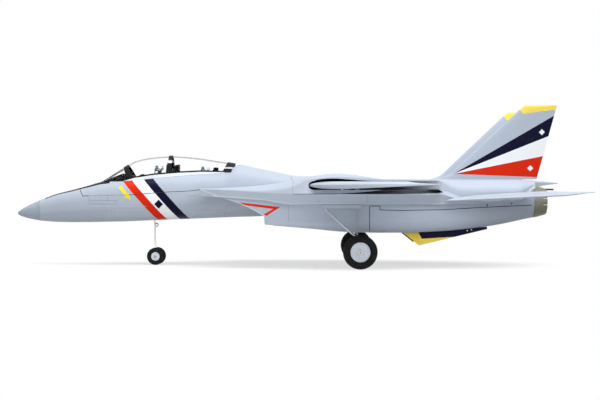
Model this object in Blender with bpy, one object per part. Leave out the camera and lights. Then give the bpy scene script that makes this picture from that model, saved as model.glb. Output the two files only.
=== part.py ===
# Radio controlled twin ducted-fan swing-wing jet, nose towards -X, left side towards -Y, wheels on Z = 0.
# Sizes are in metres and angles in degrees. The wings are modelled spread.

import math

import bmesh
import bpy
from mathutils import Matrix, Vector

# Clearances
FIT = 0.0003                    # between pieces that touch
RUNNING = 0.0006                # round pieces that turn or slide
SKIN = 0.003                    # moulded wall of the tubs and nacelles
REACH = 0.2                     # how far a cutting shape runs on past what it cuts

# Resolution
BODY_SIDES = 24
CORNER_STEPS = 4
ROUND_STEPS = 20
WHEEL_STEPS = 32
WIRE_SIDES = 6

# Stations along the airframe
NOSE_TIP_X = -0.3803
CONE_SEAM_X = -0.3477
HATCH_FRONT_X = -0.292
HATCH_REAR_X = 0.0026
INTAKE_TOP_X = -0.117
INTAKE_LIP_X = -0.030
NOZZLE_X = 0.326
NOZZLE_LENGTH = 0.0182
TAIL_LENGTH = 0.0405            # spine tail behind the nozzle seam
NOZZLE_END_X = NOZZLE_X + NOZZLE_LENGTH
TAIL_TIP_X = NOZZLE_X + TAIL_LENGTH

# Nose cone: the tip and the round seam where it plugs on
NOSE_TIP_Z = 0.0727
NOSE_TIP_R = 0.0008
NOSE_SWELL = 0.68               # how fast the cone fills out behind its tip
CONE_PLUG_R = 0.008
CONE_PLUG_LENGTH = 0.010

# Forward fuselage: x, half width, bottom, widest level, top
NOSE_STATIONS = (
    (CONE_SEAM_X, 0.0140, 0.0612, 0.0760, 0.0901),
    (-0.3254, 0.0190, 0.0594, 0.0790, 0.0984),
    (-0.3032, 0.0225, 0.0590, 0.0815, 0.1040),
    (-0.2800, 0.0250, 0.0591, 0.0840, 0.1103),
    (-0.2600, 0.0268, 0.0595, 0.0860, 0.1158),
    (-0.2295, 0.0290, 0.0602, 0.0885, 0.1195),
    (-0.2000, 0.0306, 0.0614, 0.0905, 0.1232),
    (-0.1670, 0.0324, 0.0628, 0.0930, 0.1260),
    (-0.1300, 0.0345, 0.0642, 0.0955, 0.1280),
    (-0.0920, 0.0362, 0.0658, 0.0970, 0.1297),
    (-0.0700, 0.0368, 0.0666, 0.0980, 0.1388),
    (-0.0470, 0.0366, 0.0672, 0.0990, 0.1346),
    (-0.0250, 0.0352, 0.0690, 0.1000, 0.1297),
    (HATCH_REAR_X, 0.0330, 0.0720, 0.1010, 0.1242),
)
NOSE_ROUND_LOW = 2.5            # squareness of the section below and above its widest level
NOSE_ROUND_HIGH = 2.7
BAY_FRONT_X = -0.272
BAY_REAR_X = -0.010
BAY_STEP_X = -0.160
FRONT_FLOOR_Z = 0.0660          # under the nose leg block and its servo
REAR_FLOOR_Z = 0.0742           # under the battery

# Hatch parting line seen from the side
HATCH_FRONT_LOW_X = -0.285
HATCH_FRONT_Z = 0.1075
PARTING = (
    (HATCH_FRONT_LOW_X, 0.0957),
    (-0.224, 0.0968),
    (-0.171, 0.1010),
    (-0.136, 0.1026),
    (INTAKE_TOP_X, 0.1050),
)
HATCH_REAR_LOW_Z = 0.1050

# Cockpit and canopy: x, half width, top
CANOPY_BASE_Z = 0.1100
CANOPY_STATIONS = (
    (-0.2625, 0.0100, 0.1148),
    (-0.2295, 0.0175, 0.1360),
    (-0.2140, 0.0192, 0.1443),
    (-0.1920, 0.0205, 0.1489),
    (-0.1640, 0.0210, 0.1508),
    (-0.1250, 0.0210, 0.1478),
    (-0.1030, 0.0206, 0.1443),
    (-0.0810, 0.0200, 0.1408),
    (-0.0690, 0.0196, 0.1385),
)
CANOPY_ROUND = 2.3
GLASS_WALL = 0.0010
FRAME_PROUD = 0.0009            # how far the frame stands off the glass
SILL_BAND = 0.0010              # frame above the sill line
SILL_LINE = ((-0.2580, 0.1150), (-0.2390, 0.1166), (-0.2160, 0.1222), (-0.1881, 0.1257), (-0.1527, 0.1287),
             (-0.1243, 0.1300), (-0.0860, 0.1292))
BOWS = (                        # x at the sill, x at the crown and half width of each bow
    (-0.2205, -0.2283, 0.0038),
    (-0.1656, -0.1656, 0.0025),
    (-0.0860, -0.0810, 0.0062),
)
WELL_FRONT_X = -0.214
WELL_LENGTH = 0.114
WELL_REAR_X = WELL_FRONT_X + WELL_LENGTH
WELL_FLOOR_Z = 0.1060
WELL_HALF_WIDTH = 0.0150
TRAY_THICK = 0.0020
SEAT_WIDTH = 0.018
SEAT_RISE = 0.0080
SEAT_LENGTH = 0.0090            # seat pan ahead of the figure's middle
SEAT_BACK = 0.0075              # backrest behind the figure's middle
BACK_THICK = 0.0050
PANELS = ((0.0080, 0.1265), (0.0575, 0.1394))       # setback from the well's front, and top, of each panel
PANEL_DEPTH = 0.0120
PILOT_SETBACKS = (0.0320, 0.0970)
PILOT_X = tuple(WELL_FRONT_X + setback for setback in PILOT_SETBACKS)
PILOT_HEAD_Z = (0.1362, 0.1338)
PILOT_SIDES = 16
TORSO = (0.0070, 0.0050)        # half width and half depth at the hips
NECK = (0.0040, 0.0030)
HEAD_R = 0.0052

# Wing gloves: x, inner edge, outer edge, then the levels of ledge, lip, shoulder, inner top and top
DECK_Z = 0.1180
LEDGE_Z = 0.0850
LIP_Z = 0.0984
SHELF_Y = 0.1030                # outer face of the shelf that carries the tailplane
GLOVE_STATIONS = (
    (INTAKE_TOP_X, 0.0375, 0.0880, 0.0963, 0.0985, 0.1010, 0.1030, 0.1040),
    (INTAKE_LIP_X, 0.0375, 0.1100, 0.0900, LIP_Z, 0.1040, 0.1070, 0.1110),
    (0.0026, 0.0345, 0.1205, LEDGE_Z, LIP_Z, 0.1090, 0.1100, 0.1155),
    (0.0300, 0.0315, 0.1280, LEDGE_Z, LIP_Z, 0.1180, 0.1140, 0.1205),
    (0.0650, 0.0313, 0.1300, LEDGE_Z, LIP_Z, 0.1200, 0.1170, 0.1255),
    (0.0950, 0.0313, 0.1290, LEDGE_Z, LIP_Z, 0.1195, 0.1175, 0.1225),
    (0.1250, 0.0313, 0.1265, LEDGE_Z, LIP_Z, 0.1178, DECK_Z, DECK_Z + 0.0010),
    (0.1900, 0.0313, 0.1180, LEDGE_Z, LIP_Z, 0.1172, DECK_Z, DECK_Z),
    (0.2030, 0.0313, SHELF_Y, LEDGE_Z, 0.0870, 0.1168, DECK_Z, DECK_Z),
    (0.2250, 0.0313, SHELF_Y, 0.0855, 0.0875, 0.0990, DECK_Z, DECK_Z),
    (0.2660, 0.0313, SHELF_Y, 0.0860, 0.0880, 0.0980, DECK_Z, DECK_Z),
    (0.3000, 0.0313, SHELF_Y, 0.0880, 0.0900, 0.0985, DECK_Z, DECK_Z),
    (NOZZLE_X, 0.0313, 0.0860, 0.1060, 0.1075, 0.1110, DECK_Z - 0.0010, DECK_Z - 0.0010),
)
SHOULDER_IN = 0.016             # how far inboard the rounded shoulder starts
SHOULDER_STEPS = 4
LEDGE_WIDTH = 0.011

# Nacelles: x, middle across, half width, bottom, top, lower and upper corner radius
LIP_CORNER_Z = 0.0696           # the intake lip stands upright below this level and rakes forward above it
LIP_RAKE = 2.35                 # forward for each unit up
LIP_LEAN_AFT = 0.2              # how the next ring trails the lip's foot
LIP_MARGIN = 0.020              # the duct is cut from this far ahead of the lip
NACELLE_ROOF_Z = 0.0960
NACELLE_STATIONS = (
    (INTAKE_TOP_X, 0.0660, 0.0205, 0.0580, NACELLE_ROOF_Z, 0.0030, 0.0030),
    (INTAKE_LIP_X, 0.0660, 0.0220, 0.0575, NACELLE_ROOF_Z, 0.0060, 0.0040),
    (0.0300, 0.0670, 0.0240, 0.0525, NACELLE_ROOF_Z, 0.0100, 0.0050),
    (0.0740, 0.0650, 0.0255, 0.0483, NACELLE_ROOF_Z, 0.0150, 0.0060),
    (0.1250, 0.0620, 0.0265, 0.0469, NACELLE_ROOF_Z, 0.0180, 0.0080),
    (0.1500, 0.0610, 0.0265, 0.0469, NACELLE_ROOF_Z, 0.0190, 0.0090),
    (0.2030, 0.0590, 0.0262, 0.0489, 0.0985, 0.0200, 0.0100),
    (0.2660, 0.0560, 0.0235, 0.0552, 0.1045, 0.0215, 0.0140),
    (NOZZLE_X, 0.0550, 0.0215, 0.0670, 0.1100, 0.0210, 0.0210),
)
NOZZLE_MID_Y = 0.0550
NOZZLE_MID_Z = 0.0885

# Fan inside each nacelle
FAN_X = 0.150
FAN_LENGTH = 0.040
FAN_MID_Y = 0.0606
FAN_MID_Z = 0.0722
FAN_R = 0.0194
ROTOR_NOSE = 0.0040             # along the fan: hub nose, then the hub's back face
ROTOR_BACK = 0.0220
ROTOR_BORE = 0.0080
BLADE_MID = 0.0165
VANE_CHORD = 0.0120
VANE_INSET = 0.0020
SHROUD_WALL = 0.0014
BLADE_COUNT = 6
BLADE_CHORD = 0.013
BLADE_THICK = 0.0012
BLADE_PITCH = 38.0
HUB_R = 0.0080
VANE_COUNT = 4
MOTOR_R = 0.0076
MOTOR_LENGTH = 0.024
MOTOR_SHAFT_R = 0.0013

# Nozzle cans
NOZZLE_R = 0.0215
NOZZLE_END_R = 0.0166
NOZZLE_WALL = 0.0015
PETAL_COUNT = 12
PETAL_GAP = 0.0010
PETAL_GAP_DEPTH = 0.0065

# Centre tub and spine between the gloves
SPINE_HALF_WIDTH = 0.0310
SPINE_FLOOR_Z = 0.0800
SPINE_SPLIT_Z = 0.1050
SPINE_TOP = ((HATCH_REAR_X, 0.1242), (0.019, 0.1228), (0.060, 0.1215), (0.125, 0.1190),
             (0.190, DECK_Z), (0.300, DECK_Z - 0.0004), (NOZZLE_X + TAIL_LENGTH / 3.0, 0.1165),
             (TAIL_TIP_X, 0.1138))
SPINE_STEP_X = 0.2030           # where the tub's floor starts to rise to the tail
SPINE_TAIL_DEPTH = 0.0020       # what is left of the tub at the tail
BAY_WALL_X = 0.2000
TAIL_HALF_WIDTH = 0.024
TAIL_EDGE = 0.0016

# Swing wing
PIVOT_X = 0.0900
PIVOT_Y = 0.1050
WING_MID_Z = 0.1100
WING_THICK = 0.0100
WING_TIP_THICK = 0.0032
HALF_SPAN = 0.3870
WING_BREAK_Y = 0.1270           # where the straight leading edge runs into the round root
LEADING_SWEEP = 20.0
TIP_CHORD = 0.0500
ROOT_AFT_R = 0.0680             # pivot to the trailing corner of the root
ROOT_INNER_Y = 0.0750
SWEEP_RANGE = 48.0
SLOT_GAP = 0.0010
PIVOT_PIN_R = 0.0030
PIVOT_FOOT_Z = 0.0988           # the pivot pin stands this high in the glove
PIVOT_HEAD_Z = 0.1226
SECTION_POINTS = 9
EDGE_HALF = 0.0004              # half the thickness left at a trailing edge
WING_TIP_ROUND = 0.0100
CREST = 0.3                     # share of the chord ahead of the thickest place
WING_FLAT = 1.0                 # 1 makes the root's upper side level behind the crest, 0 leaves it symmetric

# Wing sweep drive: servo arm, link and the pin in the wing root stay a parallelogram
ARM_LENGTH = 0.0160
SWEEP_SERVO_Y = 0.0180
LINK_WIDTH = 0.0050
LINK_THICK = 0.0022
LINK_PIN_R = 0.0011
ARM_THICK = 0.0024
LINK_LOW_Z = WING_MID_Z - WING_THICK / 2.0 - SLOT_GAP - LINK_THICK - FIT
ARM_LOW_Z = LINK_LOW_Z + LINK_THICK + FIT
LINK_PIN_TOP = ARM_LOW_Z + ARM_THICK
SERVO_LENGTH = 0.0230
SERVO_WIDTH = 0.0120
SERVO_SHAFT_INSET = 0.0060
SERVO_BOSS_R = 0.0028

# All-moving tailplane
STAB_HALF_SPAN = 0.1980
STAB_ROOT_X = (0.2070, 0.3300)
STAB_TIP_X = (0.3400, 0.3800)
STAB_AXIS_X = 0.2850
STAB_AXIS_Z = 0.0975
STAB_SLOPE = 5.5
STAB_DROOP = 3.3                # the tips hang lower than the roots by this angle
STAB_THICK = 0.0065
STAB_TIP_THICK = 0.0030
STAB_TIP_ROUND = 0.0060
STAB_SHAFT_R = 0.0020
STAB_SHAFT_IN = 0.0200          # how far the shaft reaches into the tailplane
STAB_SERVO_HEIGHT = 0.0110
STAB_SERVO_INNER_Y = 0.0815
SHELF_WALL = 0.0036             # shelf wall that the tailplane shaft turns in

# Fins
FIN_ROOT_Y = 0.0620
FIN_TIP_Y = 0.0760
FIN_ROOT_X = (0.2080, 0.3310)
FIN_FILLET_X = 0.1950
FIN_FILLET_RISE = 0.0085
FIN_TIP_X = (0.3120, 0.3556)
FIN_TIP_Z = 0.2160
FIN_THICK = 0.0050
FIN_TIP_THICK = 0.0026
VENTRAL_Y = 0.0590
VENTRAL_TOP_X = (0.1530, 0.2655)
VENTRAL_LOW = ((0.1744, 0.0296), (0.2655, 0.0515))
VENTRAL_THICK = 0.0026

# Main wheels and legs
AXLE_X = 0.0944
AXLE_Z = 0.0227
MAIN_WHEEL_R = 0.0227
MAIN_WHEEL_WIDTH = 0.0150
MAIN_HUB_R = 0.0135
MAIN_WIRE_R = 0.0013
GEAR_BLOCK_Y = (0.0918, 0.1018)
MAIN_LEG_X = 0.0905
DRAG_LEG_X = 0.0494
GEAR_BLOCK_THICK = 0.0050
GEAR_BLOCK_MARGIN = 0.0050
WHEEL_GAP = 0.0014              # strut to wheel along the axle
COLLAR_R = 0.0030
COLLAR_WIDTH = 0.0024
WIRE_BEND_R = 0.0030
LEG_KINK = 0.0220               # the leg bends this far above the axle
BRACE_FOOT = 0.0180             # the brace meets the leg this far above the axle
BRACE_KINK = (0.0065, 0.0232)   # last bend of the brace: ahead of the leg and above the axle
HUB_BOSS_R = 0.0035
HUB_DISH_R = 0.0050
TYRE_CROWN = 0.0060

# Nose leg
NOSE_LEG_X = -0.1888
NOSE_AXLE_X = -0.1864
NOSE_AXLE_Z = 0.0120
NOSE_WHEEL_R = 0.0120
NOSE_WHEEL_WIDTH = 0.0060
NOSE_TRACK = 0.0200
NOSE_WIRE_R = 0.0010
COIL_MID_Z = 0.0552
COIL_R = 0.0022                 # middle of the wire
COIL_PITCH = 0.0029
COIL_POINTS = 12
COIL_LEAD = 0.0040              # straight wire into the coil, and out of the last bend
NOSE_BEND_R = 0.0025
NOSE_TYRE_CROWN = 0.0030
NOSE_BEND_Z = 0.0335
NOSE_BLOCK = (0.0160, 0.0120, 0.0200)
TILLER_LENGTH = 0.0090
TILLER_WIDTH = 0.0044
TILLER_THICK = 0.0022
STEER_SERVO_X = -0.2360

# Electric pack
BATTERY = (0.1050, 0.0340, 0.0250)
BATTERY_X = -0.1000
CONTROLLER = (0.0460, 0.0200, 0.0090)
CONTROLLER_X = 0.1600
CONTROLLER_GAP = 0.0030
RECEIVER = (0.0380, 0.0220, 0.0120)
RECEIVER_X = 0.0300

SIDES = (("left", -1), ("right", 1))

GREY = (0.42, 0.47, 0.54)
PALE = (0.50, 0.55, 0.61)
DARK = (0.03, 0.03, 0.035)
STEEL = (0.45, 0.46, 0.48)


def clear_scene():
    for item in list(bpy.data.objects):
        bpy.data.objects.remove(item, do_unlink=True)


def paint(name, colour, roughness, metallic):
    finish = bpy.data.materials.new(name + "_finish")
    finish.use_nodes = True
    shader = finish.node_tree.nodes["Principled BSDF"]
    shader.inputs["Base Color"].default_value = (*colour, 1.0)
    shader.inputs["Roughness"].default_value = roughness
    shader.inputs["Metallic"].default_value = metallic
    return finish


def piece(name, shape, colour, roughness=0.5, metallic=0.0, origin=(0.0, 0.0, 0.0)):
    # Turns a bmesh in world places into a node whose origin lies on its joint axis.
    origin = Vector(origin)
    bmesh.ops.translate(shape, verts=shape.verts, vec=-origin)
    mesh = bpy.data.meshes.new(name)
    shape.to_mesh(mesh)
    shape.free()
    mesh.shade_smooth()
    mesh.set_sharp_from_angle(angle=math.radians(35.0))
    node = bpy.data.objects.new(name, mesh)
    node.location = origin
    mesh.materials.append(paint(name, colour, roughness, metallic))
    bpy.context.scene.collection.objects.link(node)
    return node


def guide(name, shape):
    node = piece(name, shape, DARK)
    node.hide_render = True
    node.display_type = "WIRE"
    return node


def combine(node, other, operation):
    step = node.modifiers.new(other.name, "BOOLEAN")
    step.operation = operation
    step.solver = "EXACT"
    step.object = other


def cut(node, name, shape):
    combine(node, guide(name, shape), "DIFFERENCE")


def weld(node, name, shape):
    combine(node, guide(name, shape), "UNION")


def keep_inside(node, name, shape):
    combine(node, guide(name, shape), "INTERSECT")


def loft(rings):
    shape = bmesh.new()
    loops = [[shape.verts.new(point) for point in ring] for ring in rings]
    count = len(loops[0])
    for first, second in zip(loops, loops[1:]):
        for i in range(count):
            j = (i + 1) % count
            shape.faces.new((first[i], first[j], second[j], second[i]))
    shape.faces.new(loops[0])
    shape.faces.new(loops[-1])
    bmesh.ops.recalc_face_normals(shape, faces=shape.faces)
    return shape


def gather(shapes):
    # Joins separate closed shapes into one bmesh without fusing them.
    whole = bmesh.new()
    for shape in shapes:
        mesh = bpy.data.meshes.new("part")
        shape.to_mesh(mesh)
        shape.free()
        whole.from_mesh(mesh)
        bpy.data.meshes.remove(mesh)
    return whole


def box(low, high):
    x0, y0, z0 = low
    x1, y1, z1 = high
    base = ((x0, y0), (x1, y0), (x1, y1), (x0, y1))
    return loft([[Vector((x, y, z)) for x, y in base] for z in (z0, z1)])


def side_prism(outline, y0, y1):
    return loft([[Vector((x, y, z)) for x, z in outline] for y in (y0, y1)])


def plan_prism(outline, z0, z1):
    return loft([[Vector((x, y, z)) for x, y in outline] for z in (z0, z1)])


def turned(profile, steps, ring=False):
    # Spins (along, radius) points about the X axis; a ring's profile is a closed loop off the axis.
    shape = bmesh.new()
    loops = []
    for along, radius in profile:
        if radius == 0.0:
            loops.append([shape.verts.new((along, 0.0, 0.0))])
            continue
        angles = [2.0 * math.pi * k / steps for k in range(steps)]
        loops.append([shape.verts.new((along, radius * math.cos(a), radius * math.sin(a))) for a in angles])
    pairs = list(zip(loops, loops[1:]))
    if ring:
        pairs.append((loops[-1], loops[0]))
    for first, second in pairs:
        for i in range(steps):
            j = (i + 1) % steps
            corners = (first[i % len(first)], first[j % len(first)],
                       second[j % len(second)], second[i % len(second)])
            shape.faces.new(list(dict.fromkeys(corners)))
    bmesh.ops.recalc_face_normals(shape, faces=shape.faces)
    return shape


def moved(shape, place, turn=None):
    matrix = Matrix.Translation(Vector(place))
    if turn:
        matrix = matrix @ Matrix.Rotation(math.radians(turn[1]), 4, turn[0])
    bmesh.ops.transform(shape, matrix=matrix, verts=shape.verts)
    return shape


def rod(start, end, radius, steps=ROUND_STEPS):
    start = Vector(start)
    along = Vector(end) - start
    shape = turned([(0.0, 0.0), (0.0, radius), (along.length, radius), (along.length, 0.0)], steps)
    aim = Vector((1.0, 0.0, 0.0)).rotation_difference(along).to_matrix().to_4x4()
    bmesh.ops.transform(shape, matrix=Matrix.Translation(start) @ aim, verts=shape.verts)
    return shape


def drill(x, y, radius, low=0.0, high=REACH):
    return rod((x, y, low), (x, y, high), radius)


def tube(points, radius, sides=WIRE_SIDES):
    rings = []
    across = None
    for i, point in enumerate(points):
        along = (points[min(i + 1, len(points) - 1)] - points[max(i - 1, 0)]).normalized()
        if across is None:
            across = along.orthogonal()
        across = (across - along * across.dot(along)).normalized()
        upward = along.cross(across)
        angles = [2.0 * math.pi * k / sides for k in range(sides)]
        rings.append([point + radius * (math.cos(a) * across + math.sin(a) * upward) for a in angles])
    return loft(rings)


def curve_at(knots, x):
    for (x0, z0), (x1, z1) in zip(knots, knots[1:]):
        if x <= x1:
            return z0 + (z1 - z0) * (x - x0) / (x1 - x0)
    return knots[-1][1]


def table_at(table, x):
    for first, second in zip(table, table[1:]):
        if x <= second[0]:
            share = (x - first[0]) / (second[0] - first[0])
            return [a + (b - a) * share for a, b in zip(first, second)]
    return list(table[-1])


def body_ring(x, half_width, low, middle, high, round_low, round_high, grow=0.0):
    ring = []
    for k in range(BODY_SIDES):
        angle = 2.0 * math.pi * (k + 0.5) / BODY_SIDES
        c, s = math.cos(angle), math.sin(angle)
        power = 2.0 / (round_high if s > 0.0 else round_low)
        height = (high - middle if s > 0.0 else middle - low) + grow
        y = (half_width + grow) * math.copysign(abs(c) ** power, c)
        z = middle + height * math.copysign(abs(s) ** power, s)
        ring.append(Vector((x, y, z)))
    return ring


def upright(x, z):
    return x


def raked_lip(x, z):
    return INTAKE_LIP_X - LIP_RAKE * max(0.0, z - LIP_CORNER_Z)


def behind_lip(x, z):
    return x + LIP_LEAN_AFT * (NACELLE_ROOF_Z - z)


def rounded_ring(x, middle_y, half_width, low, high, round_low, round_high, station=upright):
    # Rounded rectangle whose points lie where the station puts them along the body.
    ring = []
    corners = ((1, low, round_low, -90.0), (1, high, round_high, 0.0),
               (-1, high, round_high, 90.0), (-1, low, round_low, 180.0))
    for side, level, radius, start in corners:
        centre_y = middle_y + side * (half_width - radius)
        centre_z = level + radius if level == low else level - radius
        for k in range(CORNER_STEPS + 1):
            angle = math.radians(start + 90.0 * k / CORNER_STEPS)
            z = centre_z + radius * math.sin(angle)
            ring.append(Vector((station(x, z), centre_y + radius * math.cos(angle), z)))
        if start in (-90.0, 90.0):
            flat = (low + round_low, high - round_high)
            z = min(max(LIP_CORNER_Z, flat[0] + FIT), flat[1] - FIT)
            knee = Vector((station(x, z), middle_y + side * half_width, z))
            ring.append(knee)
    return ring


def mirrored(rings, side):
    return [[Vector((p.x, side * p.y, p.z)) for p in ring] for ring in rings]


def aerofoil(leading_x, chord, thickness, y, z, slope=0.0, flat=0.0):
    # Section blunt by a hair at the trailing edge; flat lifts its rear until the upper side runs level.
    stations = [0.5 - 0.5 * math.cos(math.pi * k / (SECTION_POINTS - 1)) for k in range(SECTION_POINTS)]
    half = []
    for s in stations:
        shape = 1.4845 * math.sqrt(s) - 0.63 * s - 1.758 * s ** 2 + 1.4215 * s ** 3 - 0.4680 * s ** 4
        t = max(shape * thickness, EDGE_HALF)
        lift = flat * (thickness / 2.0 - t) if s > CREST else 0.0
        half.append((s * chord, t, lift))
    outline = [(x, lift + t) for x, t, lift in reversed(half)] + [(x, lift - t) for x, t, lift in half[1:]]
    tilt = math.tan(math.radians(slope))
    return [Vector((leading_x + x, y, z + x * tilt + t)) for x, t in outline]


def nose_cone():
    seam = NOSE_STATIONS[0]
    seam_mid = 0.5 * (seam[2] + seam[4])
    length = seam[0] - NOSE_TIP_X
    rings = []
    for share in (0.0, 0.03, 0.12, 0.30, 0.60, 1.0):
        swell = share ** NOSE_SWELL
        middle = NOSE_TIP_Z + (seam_mid - NOSE_TIP_Z) * share
        width = NOSE_TIP_R + (seam[1] - NOSE_TIP_R) * swell
        low = NOSE_TIP_R + (seam_mid - seam[2] - NOSE_TIP_R) * swell
        high = NOSE_TIP_R + (seam[4] - seam_mid - NOSE_TIP_R) * swell
        x = NOSE_TIP_X + length * share - (FIT if share == 1.0 else 0.0)
        rings.append(body_ring(x, width, middle - low, middle, middle + high,
                               NOSE_ROUND_LOW, NOSE_ROUND_HIGH))
    cone = piece("nose_cone", loft(rings), GREY, 0.45)
    plug = rod((seam[0] - CONE_PLUG_LENGTH / 5.0, 0.0, seam_mid),
               (seam[0] + CONE_PLUG_LENGTH, 0.0, seam_mid), CONE_PLUG_R)
    weld(cone, "nose_cone_plug", plug)
    return seam_mid


def forward_loft(grow=0.0):
    rings = [body_ring(*station, NOSE_ROUND_LOW, NOSE_ROUND_HIGH, grow) for station in NOSE_STATIONS]
    return loft(rings)


def parting_outline(drop):
    # Side view of the space that belongs to the hatch.
    roof = REACH
    rear = HATCH_REAR_X + SKIN
    line = [(x, z - drop) for x, z in PARTING]
    front = (HATCH_FRONT_X - drop, HATCH_FRONT_Z)
    return [(front[0], roof), front] + line + [(rear, HATCH_REAR_LOW_Z - drop), (rear, roof)]


def nose_tub(seam_mid):
    tub = piece("nose_tub", forward_loft(), GREY, 0.5)
    cut(tub, "hatch_space", side_prism(parting_outline(FIT), -REACH, REACH))
    inside = [row[0] for row in NOSE_STATIONS if BAY_FRONT_X < row[0] < BAY_REAR_X]
    rings = []
    for x in sorted([BAY_FRONT_X, *inside, BAY_STEP_X, BAY_REAR_X]):
        floors = [FRONT_FLOOR_Z if x < BAY_STEP_X else REAR_FLOOR_Z]
        if x == BAY_STEP_X:
            floors.insert(0, FRONT_FLOOR_Z)
        for number, floor in enumerate(floors):
            ring = body_ring(*table_at(NOSE_STATIONS, x), NOSE_ROUND_LOW, NOSE_ROUND_HIGH, -SKIN)
            rings.append([Vector((p.x + number * RUNNING, p.y, max(p.z, floor))) for p in ring])
    cut(tub, "battery_bay", loft(rings))
    socket = CONE_PLUG_R + FIT
    cut(tub, "cone_socket", rod((CONE_SEAM_X - CONE_PLUG_LENGTH, 0.0, seam_mid),
                                (CONE_SEAM_X + CONE_PLUG_LENGTH + FIT, 0.0, seam_mid), socket))
    leg_hole = NOSE_WIRE_R + RUNNING
    cut(tub, "nose_leg_hole", drill(NOSE_LEG_X, 0.0, leg_hole))


def canopy_loft(grow):
    rings = []
    for x, half_width, top in CANOPY_STATIONS:
        rings.append(body_ring(x, half_width, CANOPY_BASE_Z - SKIN, CANOPY_BASE_Z, top,
                               CANOPY_ROUND, CANOPY_ROUND, grow))
    return loft(rings)


def hatch():
    shell = piece("hatch", forward_loft(), GREY, 0.5)
    keep_inside(shell, "hatch_outline", side_prism(parting_outline(0.0), -REACH, REACH))
    low = (WELL_FRONT_X, -WELL_HALF_WIDTH, WELL_FLOOR_Z)
    cut(shell, "cockpit_well", box(low, (WELL_REAR_X, WELL_HALF_WIDTH, REACH)))


def raised_sill():
    return [(x, z + SILL_BAND) for x, z in SILL_LINE]


def bow_edge(bow, side):
    # One edge of a bow, from the sill up past the crown.
    at_sill, at_crown, half = bow
    foot = (at_sill + side * half, curve_at(SILL_LINE, at_sill + side * half) + SILL_BAND)
    crown = curve_at([(row[0], row[2]) for row in CANOPY_STATIONS], at_crown)
    lean = (at_crown - at_sill) / (crown - foot[1])
    return [foot, (foot[0] + lean * (REACH - foot[1]), REACH)]


def canopy():
    glass = piece("canopy_glass", canopy_loft(0.0), (0.75, 0.80, 0.82), 0.05)
    cut(glass, "canopy_inside", canopy_loft(-GLASS_WALL))
    cut(glass, "canopy_seat", forward_loft(FIT))
    frame = piece("canopy_frame", canopy_loft(FIT + FRAME_PROUD), DARK, 0.5)
    cut(frame, "canopy_frame_inside", canopy_loft(FIT))
    cut(frame, "canopy_frame_seat", forward_loft(FIT))
    for number, (fore, aft) in enumerate(zip(BOWS, BOWS[1:])):
        sill = [point for point in raised_sill() if fore[0] + fore[2] < point[0] < aft[0] - aft[2]]
        outline = bow_edge(fore, 1)[::-1] + sill + bow_edge(aft, -1)
        cut(frame, "canopy_window_%d" % number, side_prism(outline, -REACH, REACH))
    bow = BOWS[0]
    front = (CANOPY_STATIONS[0][0] - SKIN, SILL_LINE[0][1] + SILL_BAND)
    sill = [point for point in raised_sill() if point[0] < bow[0] - bow[2]]
    outline = [(front[0], REACH), front] + sill + bow_edge(bow, -1)
    cut(frame, "windscreen", side_prism(outline, -REACH, REACH))


def cockpit():
    # One moulded tray carries both seats and both instrument panels.
    half = SEAT_WIDTH / 2.0
    floor = WELL_FLOOR_Z + FIT
    edge = WELL_HALF_WIDTH - FIT
    low = (WELL_FRONT_X + FIT, -edge, floor)
    tray = piece("cockpit_tray", box(low, (WELL_REAR_X - FIT, edge, floor + TRAY_THICK)), DARK, 0.6)
    inside = floor + TRAY_THICK / 2.0
    for number, (x, head) in enumerate(zip(PILOT_X, PILOT_HEAD_Z)):
        front = x - SEAT_LENGTH
        back = x + SEAT_BACK
        pan = floor + SEAT_RISE
        seat = ((front, inside), (back + BACK_THICK, inside), (back + BACK_THICK * 1.2, head + HEAD_R * 0.4),
                (back + BACK_THICK * 0.4, head + HEAD_R * 0.7), (back, pan), (front, pan - TRAY_THICK / 2.0))
        weld(tray, "seat_%d" % number, side_prism(seat, -half, half))
    for number, (setback, top) in enumerate(PANELS):
        x = WELL_FRONT_X + setback
        front = x - PANEL_DEPTH / 3.0
        back = front + PANEL_DEPTH
        panel = ((front, inside), (back - TRAY_THICK, inside), (back, top - PANEL_DEPTH / 4.0), (x, top),
                 (front, top - PANEL_DEPTH / 6.0))
        weld(tray, "panel_%d" % number, side_prism(panel, -half, half))
    for name, x, head in zip(("front", "rear"), PILOT_X, PILOT_HEAD_Z):
        seat_z = floor + SEAT_RISE + FIT
        neck_z = head - HEAD_R * 0.8
        wide, deep = TORSO
        middle = x + HEAD_R * 0.18
        rings = []
        for z, width, depth in ((seat_z, wide, deep), (neck_z - HEAD_R * 0.7, wide, deep * 0.9),
                                (neck_z, *NECK)):
            angles = [2.0 * math.pi * k / PILOT_SIDES for k in range(PILOT_SIDES)]
            rings.append([Vector((middle + depth * math.cos(a), width * math.sin(a), z)) for a in angles])
        figure = piece("pilot_" + name, loft(rings), (0.16, 0.20, 0.16), 0.6)
        half_turn = [math.pi * k / 8 for k in range(1, 8)]
        dome = [(-HEAD_R * math.cos(a), HEAD_R * math.sin(a)) for a in half_turn]
        ball = turned([(-HEAD_R, 0.0), *dome, (HEAD_R, 0.0)], PILOT_SIDES)
        weld(figure, "head_" + name, moved(ball, (middle, 0.0, head)))


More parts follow.
